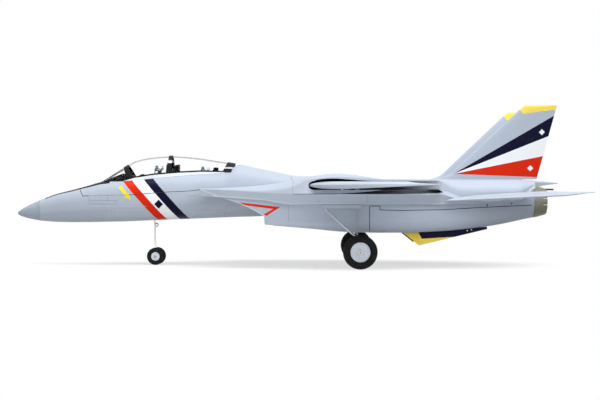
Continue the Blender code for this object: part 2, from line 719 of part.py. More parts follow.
def glove_ring(x):
    x, inner, outer, ledge, lip, shoulder, inner_top, top = table_at(GLOVE_STATIONS, x)
    nacelle = table_at(NACELLE_STATIONS, x)
    flank = nacelle[1] + nacelle[2] + FIT
    roof = nacelle[4] + FIT
    ledge = min(ledge, roof - 0.0002)
    ledge_end = min(flank + LEDGE_WIDTH, outer - 0.001)
    points = [(inner, roof), (flank, roof), (flank, ledge), (ledge_end, ledge), (outer, lip)]
    for k in range(SHOULDER_STEPS + 1):
        angle = 0.5 * math.pi * k / SHOULDER_STEPS
        y = outer - SHOULDER_IN * (1.0 - math.cos(angle))
        points.append((y, shoulder + (top - shoulder) * math.sin(angle)))
    points.append((inner + 0.016, 0.5 * (inner_top + top)))
    points.append((inner, inner_top))
    return [Vector((x, y, z)) for y, z in points]


def swept(dx, dy):
    angle = math.radians(SWEEP_RANGE)
    return dx * math.cos(angle) + dy * math.sin(angle), dy * math.cos(angle) - dx * math.sin(angle)


def wing_lines():
    # Root circle radius and the leading and trailing lines of the spread wing.
    lean = math.radians(LEADING_SWEEP)
    break_dy = WING_BREAK_Y - PIVOT_Y
    root_r = break_dy / math.sin(lean)
    break_x = PIVOT_X - root_r * math.cos(lean)
    tip_x = break_x + (HALF_SPAN - WING_BREAK_Y) * math.tan(lean)
    aft_x = PIVOT_X + math.sqrt(ROOT_AFT_R ** 2 - break_dy ** 2)
    return root_r, break_x, tip_x, aft_x


def slot_outline(side):
    root_r, break_x, tip_x, aft_x = wing_lines()
    radius = max(ROOT_AFT_R, root_r) + SLOT_GAP
    corner = swept(aft_x - PIVOT_X, WING_BREAK_Y - PIVOT_Y)
    tip = swept(tip_x + TIP_CHORD - PIVOT_X, HALF_SPAN - PIVOT_Y)
    run = Vector((tip[0] - corner[0], tip[1] - corner[1])).normalized()
    start = math.pi - math.asin((WING_BREAK_Y + 0.008 - PIVOT_Y) / radius)
    stop = 2.0 * math.pi + math.atan2(corner[1], corner[0])
    arc = [start + (stop - start) * k / ROUND_STEPS for k in range(ROUND_STEPS + 1)]
    outline = [(PIVOT_X + radius * math.cos(a), PIVOT_Y + radius * math.sin(a)) for a in arc]
    last = outline[-1]
    reach = (REACH - last[1]) / run.y
    outline += [(last[0] + run.x * reach, REACH), (outline[0][0], REACH)]
    return [(x, side * y) for x, y in outline]


def glove(name, side):
    stations = sorted({row[0] for row in GLOVE_STATIONS} | {row[0] for row in NACELLE_STATIONS})
    shell = piece("glove_" + name, loft(mirrored([glove_ring(x) for x in stations], side)), GREY, 0.5)
    floor = WING_MID_Z - WING_THICK / 2.0 - SLOT_GAP
    ceiling = WING_MID_Z + WING_THICK / 2.0 + SLOT_GAP
    cut(shell, "wing_slot_" + name, plan_prism(slot_outline(side), floor, ceiling))
    half_swing = math.radians(SWEEP_RANGE / 2.0)
    low_x = PIVOT_X - ARM_LENGTH - LINK_WIDTH / 2.0 - SLOT_GAP
    high_x = PIVOT_X - ARM_LENGTH * math.cos(half_swing) + LINK_WIDTH / 2.0 + SLOT_GAP
    reach = PIVOT_Y + ARM_LENGTH * math.sin(half_swing) + LINK_WIDTH / 2.0 + SLOT_GAP
    y0, y1 = sorted((side * SWEEP_SERVO_Y, side * reach))
    channel_z = floor - LINK_THICK - SLOT_GAP
    cut(shell, "link_channel_" + name, box((low_x, y0, channel_z), (high_x, y1, ceiling - SLOT_GAP)))
    cut(shell, "pivot_hole_" + name, drill(PIVOT_X, side * PIVOT_Y, PIVOT_PIN_R + FIT, PIVOT_FOOT_Z - FIT))
    servo_low, servo_high = stab_servo_box(side)
    low = Vector(servo_low) - Vector((FIT, FIT, 0.0))
    high = Vector(servo_high) + Vector((FIT, FIT, FIT))
    cut(shell, "stab_servo_pocket_" + name, box((low.x, low.y, 0.0), high))
    inner = (STAB_AXIS_X, side * (SHELF_Y - 2.0 * SHELF_WALL), STAB_AXIS_Z)
    outer = (STAB_AXIS_X, side * (SHELF_Y + SHELF_WALL), STAB_AXIS_Z)
    cut(shell, "stab_shaft_hole_" + name, rod(inner, outer, STAB_SHAFT_R + RUNNING))


def circle_ring(x, middle_y, middle_z, clear_radius):
    # Its flats stand clear of a round piece of the given radius.
    radius = clear_radius / math.cos(math.pi / (4.0 * CORNER_STEPS))
    corner = radius * 0.985
    return rounded_ring(x, middle_y, radius, middle_z - radius, middle_z + radius, corner, corner)


def nacelle(name, side):
    stations = [raked_lip, behind_lip] + [upright] * (len(NACELLE_STATIONS) - 2)
    outer = []
    inner = []
    tunnel_r = FAN_R + RUNNING + SHROUD_WALL + FIT
    for (x, middle, half, low, high, round_low, round_high), station in zip(NACELLE_STATIONS, stations):
        outer.append(rounded_ring(x, middle, half, low, high, round_low, round_high, station))
        if x < FAN_X:
            corners = [max(radius, 1.5 * SKIN) - SKIN for radius in (round_low, round_high)]
            inner.append(rounded_ring(x, middle, half - SKIN, low + SKIN, high - SKIN, *corners, station))
    inner.insert(0, [p - Vector((LIP_MARGIN, 0.0, 0.0)) for p in inner[0]])
    inner.append(circle_ring(FAN_X, FAN_MID_Y, FAN_MID_Z, tunnel_r))
    inner.append(circle_ring(FAN_X + FAN_LENGTH, FAN_MID_Y, FAN_MID_Z, tunnel_r))
    bore_r = NOZZLE_R - NOZZLE_WALL - FIT
    inner.append(circle_ring(NOZZLE_X, NOZZLE_MID_Y, NOZZLE_MID_Z, bore_r))
    inner.append(circle_ring(NOZZLE_END_X, NOZZLE_MID_Y, NOZZLE_MID_Z, bore_r))
    shell = piece("nacelle_" + name, loft(mirrored(outer, side)), GREY, 0.5)
    cut(shell, "duct_" + name, loft(mirrored(inner, side)))


def nozzle(name, side):
    start = NOZZLE_X + FIT
    length = NOZZLE_END_X - start
    outside = []
    for share in (0.0, 0.35, 0.7, 1.0):
        radius = NOZZLE_R + (NOZZLE_END_R - NOZZLE_R) * share ** 1.4
        outside.append((start + length * share, radius))
    inside = [(x, r - NOZZLE_WALL) for x, r in reversed(outside)]
    place = (0.0, side * NOZZLE_MID_Y, NOZZLE_MID_Z)
    shape = moved(turned(outside + inside, WHEEL_STEPS, True), place)
    can = piece("nozzle_" + name, shape, (0.18, 0.18, 0.13), 0.55, 0.3)
    gaps = []
    for k in range(PETAL_COUNT):
        slit = box((NOZZLE_END_X - PETAL_GAP_DEPTH, -PETAL_GAP / 2.0, NOZZLE_END_R / 2.0),
                   (NOZZLE_END_X + PETAL_GAP_DEPTH, PETAL_GAP / 2.0, NOZZLE_R * 1.5))
        gaps.append(moved(slit, (0.0, 0.0, 0.0), ("X", 360.0 * (k + 0.5) / PETAL_COUNT)))
    cut(can, "petal_gaps_" + name, moved(gather(gaps), place))


def fan(name, side):
    place = Vector((FAN_X, side * FAN_MID_Y, FAN_MID_Z))
    bore = FAN_R + RUNNING
    ring = [(0.0, bore), (0.0, bore + SHROUD_WALL), (FAN_LENGTH, bore + SHROUD_WALL), (FAN_LENGTH, bore)]
    shroud = piece("fan_shroud_" + name, moved(turned(ring, WHEEL_STEPS, True), place), DARK, 0.5)
    vane_to = FAN_LENGTH - VANE_INSET
    vane_from = vane_to - VANE_CHORD
    sleeve_r = MOTOR_R + FIT
    sleeve_out = sleeve_r + SHROUD_WALL
    sleeve = [(vane_from, sleeve_r), (vane_from, sleeve_out), (vane_to, sleeve_out), (vane_to, sleeve_r)]
    vanes = []
    for k in range(VANE_COUNT):
        vane = box((vane_from + VANE_INSET / 2.0, -BLADE_THICK / 2.0, sleeve_r + SHROUD_WALL / 2.0),
                   (vane_to - VANE_INSET / 2.0, BLADE_THICK / 2.0, bore + SHROUD_WALL / 2.0))
        vanes.append(moved(vane, (0.0, 0.0, 0.0), ("X", 360.0 * (k + 0.5) / VANE_COUNT)))
    weld(shroud, "fan_sleeve_" + name, moved(turned(sleeve, ROUND_STEPS, True), place))
    weld(shroud, "fan_vanes_" + name, moved(gather(vanes), place))
    socket = ROTOR_BACK - ROTOR_BORE
    shaft_r = MOTOR_SHAFT_R + RUNNING
    dome = ROTOR_BACK - HUB_R
    hub = [(ROTOR_NOSE, 0.0), (ROTOR_NOSE + 0.2 * (dome - ROTOR_NOSE), HUB_R * 0.45),
           (ROTOR_NOSE + 0.6 * (dome - ROTOR_NOSE), HUB_R * 0.8), (dome, HUB_R), (ROTOR_BACK, HUB_R),
           (ROTOR_BACK, shaft_r), (socket, shaft_r), (socket, 0.0)]
    shape = moved(turned(hub, ROUND_STEPS), place)
    rotor = piece("fan_rotor_" + name, shape, (0.06, 0.06, 0.07), 0.4, 0.0, place)
    blades = []
    reach = math.sqrt(FAN_R ** 2 - (BLADE_CHORD / 2.0) ** 2)
    for k in range(BLADE_COUNT):
        rings = []
        for height, twist in ((HUB_R - BLADE_THICK, 12.0), (0.5 * (HUB_R + reach), 0.0), (reach, -10.0)):
            pitch = math.radians(side * (BLADE_PITCH - twist))
            chord = Vector((math.cos(pitch), math.sin(pitch), 0.0)) * BLADE_CHORD / 2.0
            normal = Vector((-math.sin(pitch), math.cos(pitch), 0.0)) * BLADE_THICK / 2.0
            middle = Vector((BLADE_MID, 0.0, height))
            rings.append([middle - chord - normal, middle + chord - normal,
                          middle + chord + normal, middle - chord + normal])
        blades.append(moved(loft(rings), (0.0, 0.0, 0.0), ("X", 360.0 * k / BLADE_COUNT)))
    weld(rotor, "fan_blades_" + name, moved(gather(blades), place))
    front = ROTOR_BACK + RUNNING
    tip = front - 0.75 * ROTOR_BORE
    can = [(tip, 0.0), (tip, MOTOR_SHAFT_R), (front, MOTOR_SHAFT_R), (front, MOTOR_R),
           (front + MOTOR_LENGTH, MOTOR_R), (front + MOTOR_LENGTH, 0.0)]
    piece("fan_motor_" + name, moved(turned(can, ROUND_STEPS), place), STEEL, 0.35, 0.8)


def spine():
    front = HATCH_REAR_X + FIT
    half = SPINE_HALF_WIDTH
    rings = []
    tail_floor = SPINE_SPLIT_Z - SPINE_TAIL_DEPTH
    for x, floor in ((front, SPINE_FLOOR_Z), (SPINE_STEP_X, SPINE_FLOOR_Z), (NOZZLE_X, tail_floor)):
        corners = ((-half, floor), (half, floor), (half, SPINE_SPLIT_Z), (-half, SPINE_SPLIT_Z))
        rings.append([Vector((x, y, z)) for y, z in corners])
    tub = piece("spine_tub", loft(rings), GREY, 0.5)
    inner = half - SKIN
    cut(tub, "equipment_bay", box((front + SKIN, -inner, SPINE_FLOOR_Z + SKIN), (BAY_WALL_X, inner, REACH)))
    floor = WING_MID_Z - WING_THICK / 2.0 - SLOT_GAP
    swing = math.radians(SWEEP_RANGE / 2.0)
    low_x = PIVOT_X - ARM_LENGTH - LINK_WIDTH / 2.0 - SLOT_GAP
    high_x = PIVOT_X - ARM_LENGTH * math.cos(swing) + LINK_WIDTH / 2.0 + SLOT_GAP
    link_gap = floor - LINK_THICK - SLOT_GAP
    cut(tub, "link_gap", box((low_x, -PIVOT_Y, link_gap), (high_x, PIVOT_Y, REACH)))
    rings = []
    for x, top in SPINE_TOP:
        tail = max(0.0, (x - NOZZLE_X) / (TAIL_TIP_X - NOZZLE_X))
        width = half + (TAIL_HALF_WIDTH - half) * tail
        low = SPINE_SPLIT_Z + FIT
        low += (top - TAIL_EDGE - low) * tail
        square = 3.2 + 6.0 * min(1.0, (x - HATCH_REAR_X) / 0.12)
        rings.append(body_ring(max(x, front), width, low, low, top, 2.0, square))
    cover = piece("spine_cover", loft(rings), GREY, 0.5)
    arm_top = LINK_PIN_TOP + SLOT_GAP
    arm_end = PIVOT_X + LINK_WIDTH / 2.0 + SLOT_GAP
    cut(cover, "arm_space", box((low_x - SLOT_GAP, -inner, 0.0), (arm_end, inner, arm_top)))


def wing(name, side):
    root_r, break_x, tip_x, aft_x = wing_lines()
    rings = []
    root_steps = 6
    for k in range(root_steps):
        y = ROOT_INNER_Y + (WING_BREAK_Y - ROOT_INNER_Y) * k / root_steps
        fore = PIVOT_X - math.sqrt(root_r ** 2 - (y - PIVOT_Y) ** 2)
        aft = PIVOT_X + math.sqrt(ROOT_AFT_R ** 2 - (y - PIVOT_Y) ** 2)
        rings.append(aerofoil(fore, aft - fore, WING_THICK, y, WING_MID_Z, 0.0, WING_FLAT))
    rounded = 1.0 - WING_TIP_ROUND / (HALF_SPAN - WING_BREAK_Y)
    for share, trim in ((0.0, 0.0), (0.5, 0.0), (rounded, 0.0), (1.0, 0.12)):
        y = WING_BREAK_Y + (HALF_SPAN - WING_BREAK_Y) * share
        fore = break_x + (tip_x - break_x) * share
        aft = aft_x + (tip_x + TIP_CHORD - aft_x) * share
        chord = aft - fore
        thick = (WING_THICK + (WING_TIP_THICK - WING_THICK) * share) * (1.0 - 3.0 * trim)
        flat = WING_FLAT * (1.0 - share)
        rings.append(aerofoil(fore + chord * trim, chord * (1.0 - 1.3 * trim), thick, y, WING_MID_Z, 0.0, flat))
    pivot = (PIVOT_X, side * PIVOT_Y, WING_MID_Z)
    panel = piece("wing_" + name, loft(mirrored(rings, side)), GREY, 0.5, 0.0, pivot)
    cut(panel, "wing_pivot_bore_" + name, drill(PIVOT_X, side * PIVOT_Y, PIVOT_PIN_R + RUNNING))
    pin = link_ends(side)[1]
    bore = drill(pin.x, pin.y, LINK_PIN_R + RUNNING, 0.0, LINK_PIN_TOP + FIT)
    cut(panel, "link_pin_bore_" + name, bore)
    pivot_pin = drill(PIVOT_X, side * PIVOT_Y, PIVOT_PIN_R, PIVOT_FOOT_Z, PIVOT_HEAD_Z)
    piece("wing_pivot_" + name, pivot_pin, STEEL, 0.3, 1.0)


def arm_offset(side):
    # Servo arm from its shaft to the link pin, with the wing spread.
    swing = math.radians(SWEEP_RANGE / 2.0)
    return Vector((-ARM_LENGTH * math.cos(swing), -side * ARM_LENGTH * math.sin(swing), 0.0))


def link_ends(side):
    offset = arm_offset(side)
    servo_shaft = Vector((PIVOT_X, side * SWEEP_SERVO_Y, 0.0))
    wing_pivot = Vector((PIVOT_X, side * PIVOT_Y, 0.0))
    return servo_shaft + offset, wing_pivot + offset


def flat_bar(start, end, width, z0, z1):
    # Bar with round ends, lying flat.
    along = (end - start).normalized()
    across = Vector((-along.y, along.x, 0.0))
    outline = []
    for centre, begin in ((end, -90.0), (start, 90.0)):
        for k in range(7):
            angle = math.radians(begin + 180.0 * k / 6)
            point = centre + (along * math.cos(angle) + across * math.sin(angle)) * width / 2.0
            outline.append((point.x, point.y))
    return plan_prism(outline, z0, z1)


def servo(name, shaft, floor, top, boss_top):
    low = (shaft.x - SERVO_LENGTH + SERVO_SHAFT_INSET, shaft.y - SERVO_WIDTH / 2.0, floor)
    high = (shaft.x + SERVO_SHAFT_INSET, shaft.y + SERVO_WIDTH / 2.0, top)
    case = piece(name, box(low, high), (0.05, 0.07, 0.16), 0.4)
    weld(case, name + "_boss", drill(shaft.x, shaft.y, SERVO_BOSS_R, top - SERVO_BOSS_R, boss_top))


def sweep_drive(name, side):
    shaft = Vector((PIVOT_X, side * SWEEP_SERVO_Y, 0.0))
    arm_end, wing_end = link_ends(side)
    servo("sweep_servo_" + name, shaft, SPINE_FLOOR_Z + SKIN + FIT, LINK_LOW_Z - RUNNING, ARM_LOW_Z - FIT)
    arm = piece("sweep_arm_" + name, flat_bar(shaft, arm_end, LINK_WIDTH, ARM_LOW_Z, ARM_LOW_Z + ARM_THICK),
                (0.75, 0.75, 0.72), 0.5, 0.0, shaft + Vector((0.0, 0.0, ARM_LOW_Z)))
    cut(arm, "sweep_arm_hole_" + name, drill(arm_end.x, arm_end.y, LINK_PIN_R + RUNNING))
    link_top = LINK_LOW_Z + LINK_THICK
    link = piece("sweep_link_" + name, flat_bar(arm_end, wing_end, LINK_WIDTH, LINK_LOW_Z, link_top),
                 STEEL, 0.35, 1.0, arm_end + Vector((0.0, 0.0, LINK_LOW_Z)))
    for number, end in enumerate((arm_end, wing_end)):
        pin = drill(end.x, end.y, LINK_PIN_R, LINK_LOW_Z + LINK_THICK / 2.0, LINK_PIN_TOP)
        weld(link, "sweep_link_pin_%s_%d" % (name, number), pin)


def stab_servo_box(side):
    half = STAB_SERVO_HEIGHT / 2.0
    outer = SHELF_Y - SHELF_WALL - FIT
    y0, y1 = sorted((side * STAB_SERVO_INNER_Y, side * outer))
    low = (STAB_AXIS_X - SERVO_LENGTH + SERVO_SHAFT_INSET, y0, STAB_AXIS_Z - half)
    return low, (STAB_AXIS_X + SERVO_SHAFT_INSET, y1, STAB_AXIS_Z + half)


def tailplane(name, side):
    root_y = SHELF_Y + RUNNING
    tilt = math.tan(math.radians(STAB_SLOPE))
    droop = math.tan(math.radians(STAB_DROOP))
    rings = []
    rounded = 1.0 - STAB_TIP_ROUND / (STAB_HALF_SPAN - root_y)
    for share, trim in ((0.0, 0.0), (rounded, 0.0), (1.0, 0.15)):
        y = root_y + (STAB_HALF_SPAN - root_y) * share
        fore = STAB_ROOT_X[0] + (STAB_TIP_X[0] - STAB_ROOT_X[0]) * share
        aft = STAB_ROOT_X[1] + (STAB_TIP_X[1] - STAB_ROOT_X[1]) * share
        thick = (STAB_THICK + (STAB_TIP_THICK - STAB_THICK) * share) * (1.0 - 3.0 * trim)
        chord = aft - fore
        fore += chord * trim
        level = STAB_AXIS_Z + (fore - STAB_AXIS_X) * tilt - (y - root_y) * droop
        rings.append(aerofoil(fore, aft - fore, thick, y, level, STAB_SLOPE))
    axis = (STAB_AXIS_X, side * root_y, STAB_AXIS_Z)
    panel = piece("stab_" + name, loft(mirrored(rings, side)), GREY, 0.5, 0.0, axis)
    inner = (STAB_AXIS_X, side * (SHELF_Y - SHELF_WALL), STAB_AXIS_Z)
    outer = (STAB_AXIS_X, side * (root_y + STAB_SHAFT_IN), STAB_AXIS_Z)
    weld(panel, "stab_shaft_" + name, rod(inner, outer, STAB_SHAFT_R))
    low, high = stab_servo_box(side)
    piece("stab_servo_" + name, box(low, high), (0.05, 0.07, 0.16), 0.4)


def upright_section(fore, chord, thick, y, z):
    return [Vector((p.x, y + p.z, z)) for p in aerofoil(fore, chord, thick, 0.0, 0.0)]


def fin(name, side):
    base = DECK_Z + FIT
    rise = FIN_FILLET_RISE / (FIN_TIP_Z - base)
    rings = []
    for share in (0.0, rise, 0.5, 1.0):
        fore = FIN_ROOT_X[0] + (FIN_TIP_X[0] - FIN_ROOT_X[0]) * share
        if share == 0.0:
            fore = FIN_FILLET_X
        aft = FIN_ROOT_X[1] + (FIN_TIP_X[1] - FIN_ROOT_X[1]) * share
        thick = FIN_THICK + (FIN_TIP_THICK - FIN_THICK) * share
        y = FIN_ROOT_Y + (FIN_TIP_Y - FIN_ROOT_Y) * share
        rings.append(upright_section(fore, aft - fore, thick, y, base + (FIN_TIP_Z - base) * share))
    piece("fin_" + name, loft(mirrored(rings, side)), GREY, 0.5)


def ventral_fin(name, side):
    lows = [(row[0], row[3]) for row in NACELLE_STATIONS]
    inside = [x for x, z in lows if VENTRAL_TOP_X[0] < x < VENTRAL_TOP_X[1]]
    top = [(x, curve_at(lows, x) - FIT) for x in (VENTRAL_TOP_X[0], *inside, VENTRAL_TOP_X[1])]
    outline = top + [VENTRAL_LOW[1], VENTRAL_LOW[0]]
    half = VENTRAL_THICK / 2.0
    y0, y1 = sorted((side * (VENTRAL_Y - half), side * (VENTRAL_Y + half)))
    piece("ventral_fin_" + name, side_prism(outline, y0, y1), (0.75, 0.50, 0.06), 0.5)


def rounded_path(corners, radius, steps=4):
    points = [Vector(corners[0])]
    for before, corner, after in zip(corners, corners[1:], corners[2:]):
        corner = Vector(corner)
        start = corner + (Vector(before) - corner).normalized() * radius
        end = corner + (Vector(after) - corner).normalized() * radius
        for k in range(steps + 1):
            t = k / steps
            points.append(start * (1.0 - t) ** 2 + corner * 2.0 * t * (1.0 - t) + end * t ** 2)
    points.append(Vector(corners[-1]))
    return points


def wheel_ring(half_width, inner, outer, crown):
    # Tyre section with a rounded tread.
    points = [(-half_width * 0.8, inner)]
    for k in range(7):
        angle = math.pi * k / 6
        points.append((-half_width * math.cos(angle), outer - crown + crown * math.sin(angle)))
    return points + [(half_width * 0.8, inner)]


def main_gear(name, side):
    block_low = LEDGE_Z - FIT - GEAR_BLOCK_THICK
    leg_y = side * 0.5 * (GEAR_BLOCK_Y[0] + GEAR_BLOCK_Y[1])
    leg_top = LEDGE_Z - 2.0 * FIT
    wheel_in = side * leg_y + MAIN_WIRE_R + WHEEL_GAP
    wheel_y = side * (wheel_in + MAIN_WHEEL_WIDTH / 2.0)
    axle_end = wheel_in + MAIN_WHEEL_WIDTH + RUNNING + COLLAR_WIDTH
    leg = rounded_path([(MAIN_LEG_X, leg_y, leg_top), (MAIN_LEG_X, leg_y, AXLE_Z + LEG_KINK),
                        (AXLE_X, leg_y, AXLE_Z), (AXLE_X, side * axle_end, AXLE_Z)], WIRE_BEND_R)
    foot_x = MAIN_LEG_X + (AXLE_X - MAIN_LEG_X) * (1.0 - BRACE_FOOT / LEG_KINK)
    brace = rounded_path([(DRAG_LEG_X, leg_y, leg_top), (DRAG_LEG_X, leg_y, block_low - 2.0 * MAIN_WIRE_R),
                          (MAIN_LEG_X - BRACE_KINK[0], leg_y, AXLE_Z + BRACE_KINK[1]),
                          (foot_x, leg_y, AXLE_Z + BRACE_FOOT)], WIRE_BEND_R)
    strut = piece("main_strut_" + name, tube(leg, MAIN_WIRE_R), STEEL, 0.3, 1.0)
    weld(strut, "main_brace_" + name, tube(brace, MAIN_WIRE_R))
    collar_from = (AXLE_X, side * (axle_end - COLLAR_WIDTH), AXLE_Z)
    collar_to = (AXLE_X, side * (axle_end + FIT), AXLE_Z)
    weld(strut, "axle_collar_" + name, rod(collar_from, collar_to, COLLAR_R))
    y0, y1 = sorted((side * GEAR_BLOCK_Y[0], side * GEAR_BLOCK_Y[1]))
    shape = box((DRAG_LEG_X - GEAR_BLOCK_MARGIN, y0, block_low),
                (MAIN_LEG_X + GEAR_BLOCK_MARGIN, y1, LEDGE_Z - FIT))
    block = piece("gear_block_" + name, shape, PALE, 0.6)
    cut(block, "leg_hole_" + name, drill(MAIN_LEG_X, leg_y, MAIN_WIRE_R + FIT))
    cut(block, "brace_hole_" + name, drill(DRAG_LEG_X, leg_y, MAIN_WIRE_R + FIT))
    centre = (AXLE_X, wheel_y, AXLE_Z)
    half = MAIN_WHEEL_WIDTH / 2.0
    tyre = turned(wheel_ring(half, MAIN_HUB_R + FIT, MAIN_WHEEL_R, TYRE_CROWN), WHEEL_STEPS, True)
    piece("main_tyre_" + name, moved(tyre, centre, ("Z", 90.0)), DARK, 0.8, 0.0, centre)
    bore = MAIN_WIRE_R + RUNNING
    face = [(half, bore), (half, HUB_BOSS_R), (half * 0.62, HUB_DISH_R), (half * 0.62, MAIN_HUB_R * 0.80),
            (half * 0.8, MAIN_HUB_R)]
    hub = turned([(-along, radius) for along, radius in face] + face[::-1], ROUND_STEPS, True)
    piece("main_hub_" + name, moved(hub, centre, ("Z", 90.0)), PALE, 0.4, 0.0, centre)


def least_self_gap(points, diameter):
    # Clear space between stretches of one wire that lie more than a few diameters apart along it.
    reach = [0.0]
    for before, after in zip(points, points[1:]):
        reach.append(reach[-1] + (after - before).length)
    gaps = [(a - b).length - diameter
            for i, a in enumerate(points) for j, b in enumerate(points)
            if reach[j] - reach[i] > 3.5 * diameter]
    return min(gaps)


def nose_leg():
    block_low = FRONT_FLOOR_Z + FIT
    block_high = block_low + NOSE_BLOCK[2]
    tiller_low = block_high + FIT
    tiller_high = tiller_low + TILLER_THICK
    coil = []
    for k in range(COIL_POINTS + 1):
        turn = 2.0 * math.pi * k / COIL_POINTS
        coil.append(Vector((NOSE_LEG_X + COIL_R - COIL_R * math.cos(turn), COIL_PITCH * k / COIL_POINTS,
                            COIL_MID_Z - COIL_R * math.sin(turn))))
    shift = Vector((0.0, COIL_PITCH, 0.0))
    bend = Vector((NOSE_LEG_X, 0.0, NOSE_BEND_Z)) + shift
    axle_top = Vector((NOSE_AXLE_X, 0.0, NOSE_AXLE_Z + COIL_LEAD))
    lower = rounded_path([coil[-1], bend, axle_top, Vector((NOSE_AXLE_X, 0.0, NOSE_AXLE_Z))], NOSE_BEND_R)
    leg_top = Vector((NOSE_LEG_X, 0.0, tiller_high))
    wire = [leg_top, Vector((NOSE_LEG_X, 0.0, COIL_MID_Z + COIL_LEAD))] + coil + lower[1:]
    gap = least_self_gap(wire, 2.0 * NOSE_WIRE_R)
    print("nose leg coil: least gap between its turns %.2f mm" % (gap * 1000.0))
    steer_axis = (NOSE_LEG_X, 0.0, block_high)
    strut = piece("nose_strut", tube(wire, NOSE_WIRE_R), STEEL, 0.3, 1.0, steer_axis)
    axle = NOSE_TRACK / 2.0 + NOSE_WHEEL_WIDTH / 2.0 + RUNNING + COLLAR_WIDTH
    ends = [(NOSE_AXLE_X, side * axle, NOSE_AXLE_Z) for name, side in SIDES]
    weld(strut, "nose_axle", rod(*ends, NOSE_WIRE_R))
    collars = []
    for inner in (NOSE_TRACK / 2.0 - NOSE_WHEEL_WIDTH / 2.0 - RUNNING - COLLAR_WIDTH, axle - COLLAR_WIDTH):
        for name, side in SIDES:
            ends = [(NOSE_AXLE_X, side * y, NOSE_AXLE_Z) for y in (inner, inner + COLLAR_WIDTH)]
            collars.append(rod(*ends, NOSE_WIRE_R * 2.0))
    weld(strut, "nose_collars", gather(collars))
    for name, side in SIDES:
        centre = (NOSE_AXLE_X, side * NOSE_TRACK / 2.0, NOSE_AXLE_Z)
        tread = wheel_ring(NOSE_WHEEL_WIDTH / 2.0, NOSE_WIRE_R + RUNNING, NOSE_WHEEL_R, NOSE_TYRE_CROWN)
        wheel = moved(turned(tread, ROUND_STEPS, True), centre, ("Z", 90.0))
        piece("nose_wheel_" + name, wheel, DARK, 0.8, 0.0, centre)
    half = (NOSE_BLOCK[0] / 2.0, NOSE_BLOCK[1] / 2.0)
    block = piece("nose_gear_block", box((NOSE_LEG_X - half[0], -half[1], block_low),
                                         (NOSE_LEG_X + half[0], half[1], block_high)), PALE, 0.6)
    cut(block, "steering_bore", drill(NOSE_LEG_X, 0.0, NOSE_WIRE_R + RUNNING))
    leg = Vector((NOSE_LEG_X, 0.0, 0.0))
    shaft = Vector((STEER_SERVO_X, 0.0, 0.0))
    reach = Vector((0.0, -TILLER_LENGTH, 0.0))
    levers = []
    for name, base in (("nose_tiller", leg), ("steering_arm", shaft)):
        bar = flat_bar(base, base + reach, TILLER_WIDTH, tiller_low, tiller_high)
        levers.append(piece(name, bar, (0.75, 0.75, 0.72), 0.5, 0.0, (base.x, 0.0, tiller_low)))
        end = base + reach
        cut(levers[-1], name + "_pin_hole", drill(end.x, end.y, LINK_PIN_R + RUNNING))
    cut(levers[0], "tiller_bore", drill(NOSE_LEG_X, 0.0, NOSE_WIRE_R + FIT))
    servo("steering_servo", shaft, block_low, block_high - TILLER_THICK, tiller_low - FIT)
    link_low = tiller_high + FIT
    bar = flat_bar(shaft + reach, leg + reach, TILLER_WIDTH, link_low, link_low + LINK_THICK)
    link = piece("steering_link", bar, STEEL, 0.35, 1.0, shaft + reach + Vector((0.0, 0.0, link_low)))
    for number, base in enumerate((shaft, leg)):
        end = base + reach
        pin = drill(end.x, end.y, LINK_PIN_R, tiller_low, link_low + LINK_THICK / 2.0)
        weld(link, "steering_pin_%d" % number, pin)


def electrics():
    floor = REAR_FLOOR_Z + FIT
    half = BATTERY[1] / 2.0
    pack = box((BATTERY_X - BATTERY[0] / 2.0, -half, floor),
               (BATTERY_X + BATTERY[0] / 2.0, half, floor + BATTERY[2]))
    piece("battery_pack", pack, (0.05, 0.08, 0.20), 0.35)
    floor = SPINE_FLOOR_Z + SKIN + FIT
    for name, side in SIDES:
        y0, y1 = sorted((side * CONTROLLER_GAP, side * (CONTROLLER_GAP + CONTROLLER[1])))
        unit = box((CONTROLLER_X - CONTROLLER[0] / 2.0, y0, floor),
                   (CONTROLLER_X + CONTROLLER[0] / 2.0, y1, floor + CONTROLLER[2]))
        piece("speed_controller_" + name, unit, (0.04, 0.04, 0.05), 0.5)
    half = RECEIVER[1] / 2.0
    unit = box((RECEIVER_X - RECEIVER[0] / 2.0, -half, floor),
               (RECEIVER_X + RECEIVER[0] / 2.0, half, floor + RECEIVER[2]))
    piece("receiver", unit, (0.06, 0.06, 0.07), 0.5)


clear_scene()
nose_tub(nose_cone())
hatch()
canopy()
cockpit()
spine()
for side_name, side_sign in SIDES:
    glove(side_name, side_sign)
    nacelle(side_name, side_sign)
    nozzle(side_name, side_sign)
    fan(side_name, side_sign)
    wing(side_name, side_sign)
    sweep_drive(side_name, side_sign)
    tailplane(side_name, side_sign)
    fin(side_name, side_sign)
    ventral_fin(side_name, side_sign)
    main_gear(side_name, side_sign)
nose_leg()
electrics()
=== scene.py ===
import math

import bmesh
import bpy
import numpy as np
from mathutils import Matrix, Vector


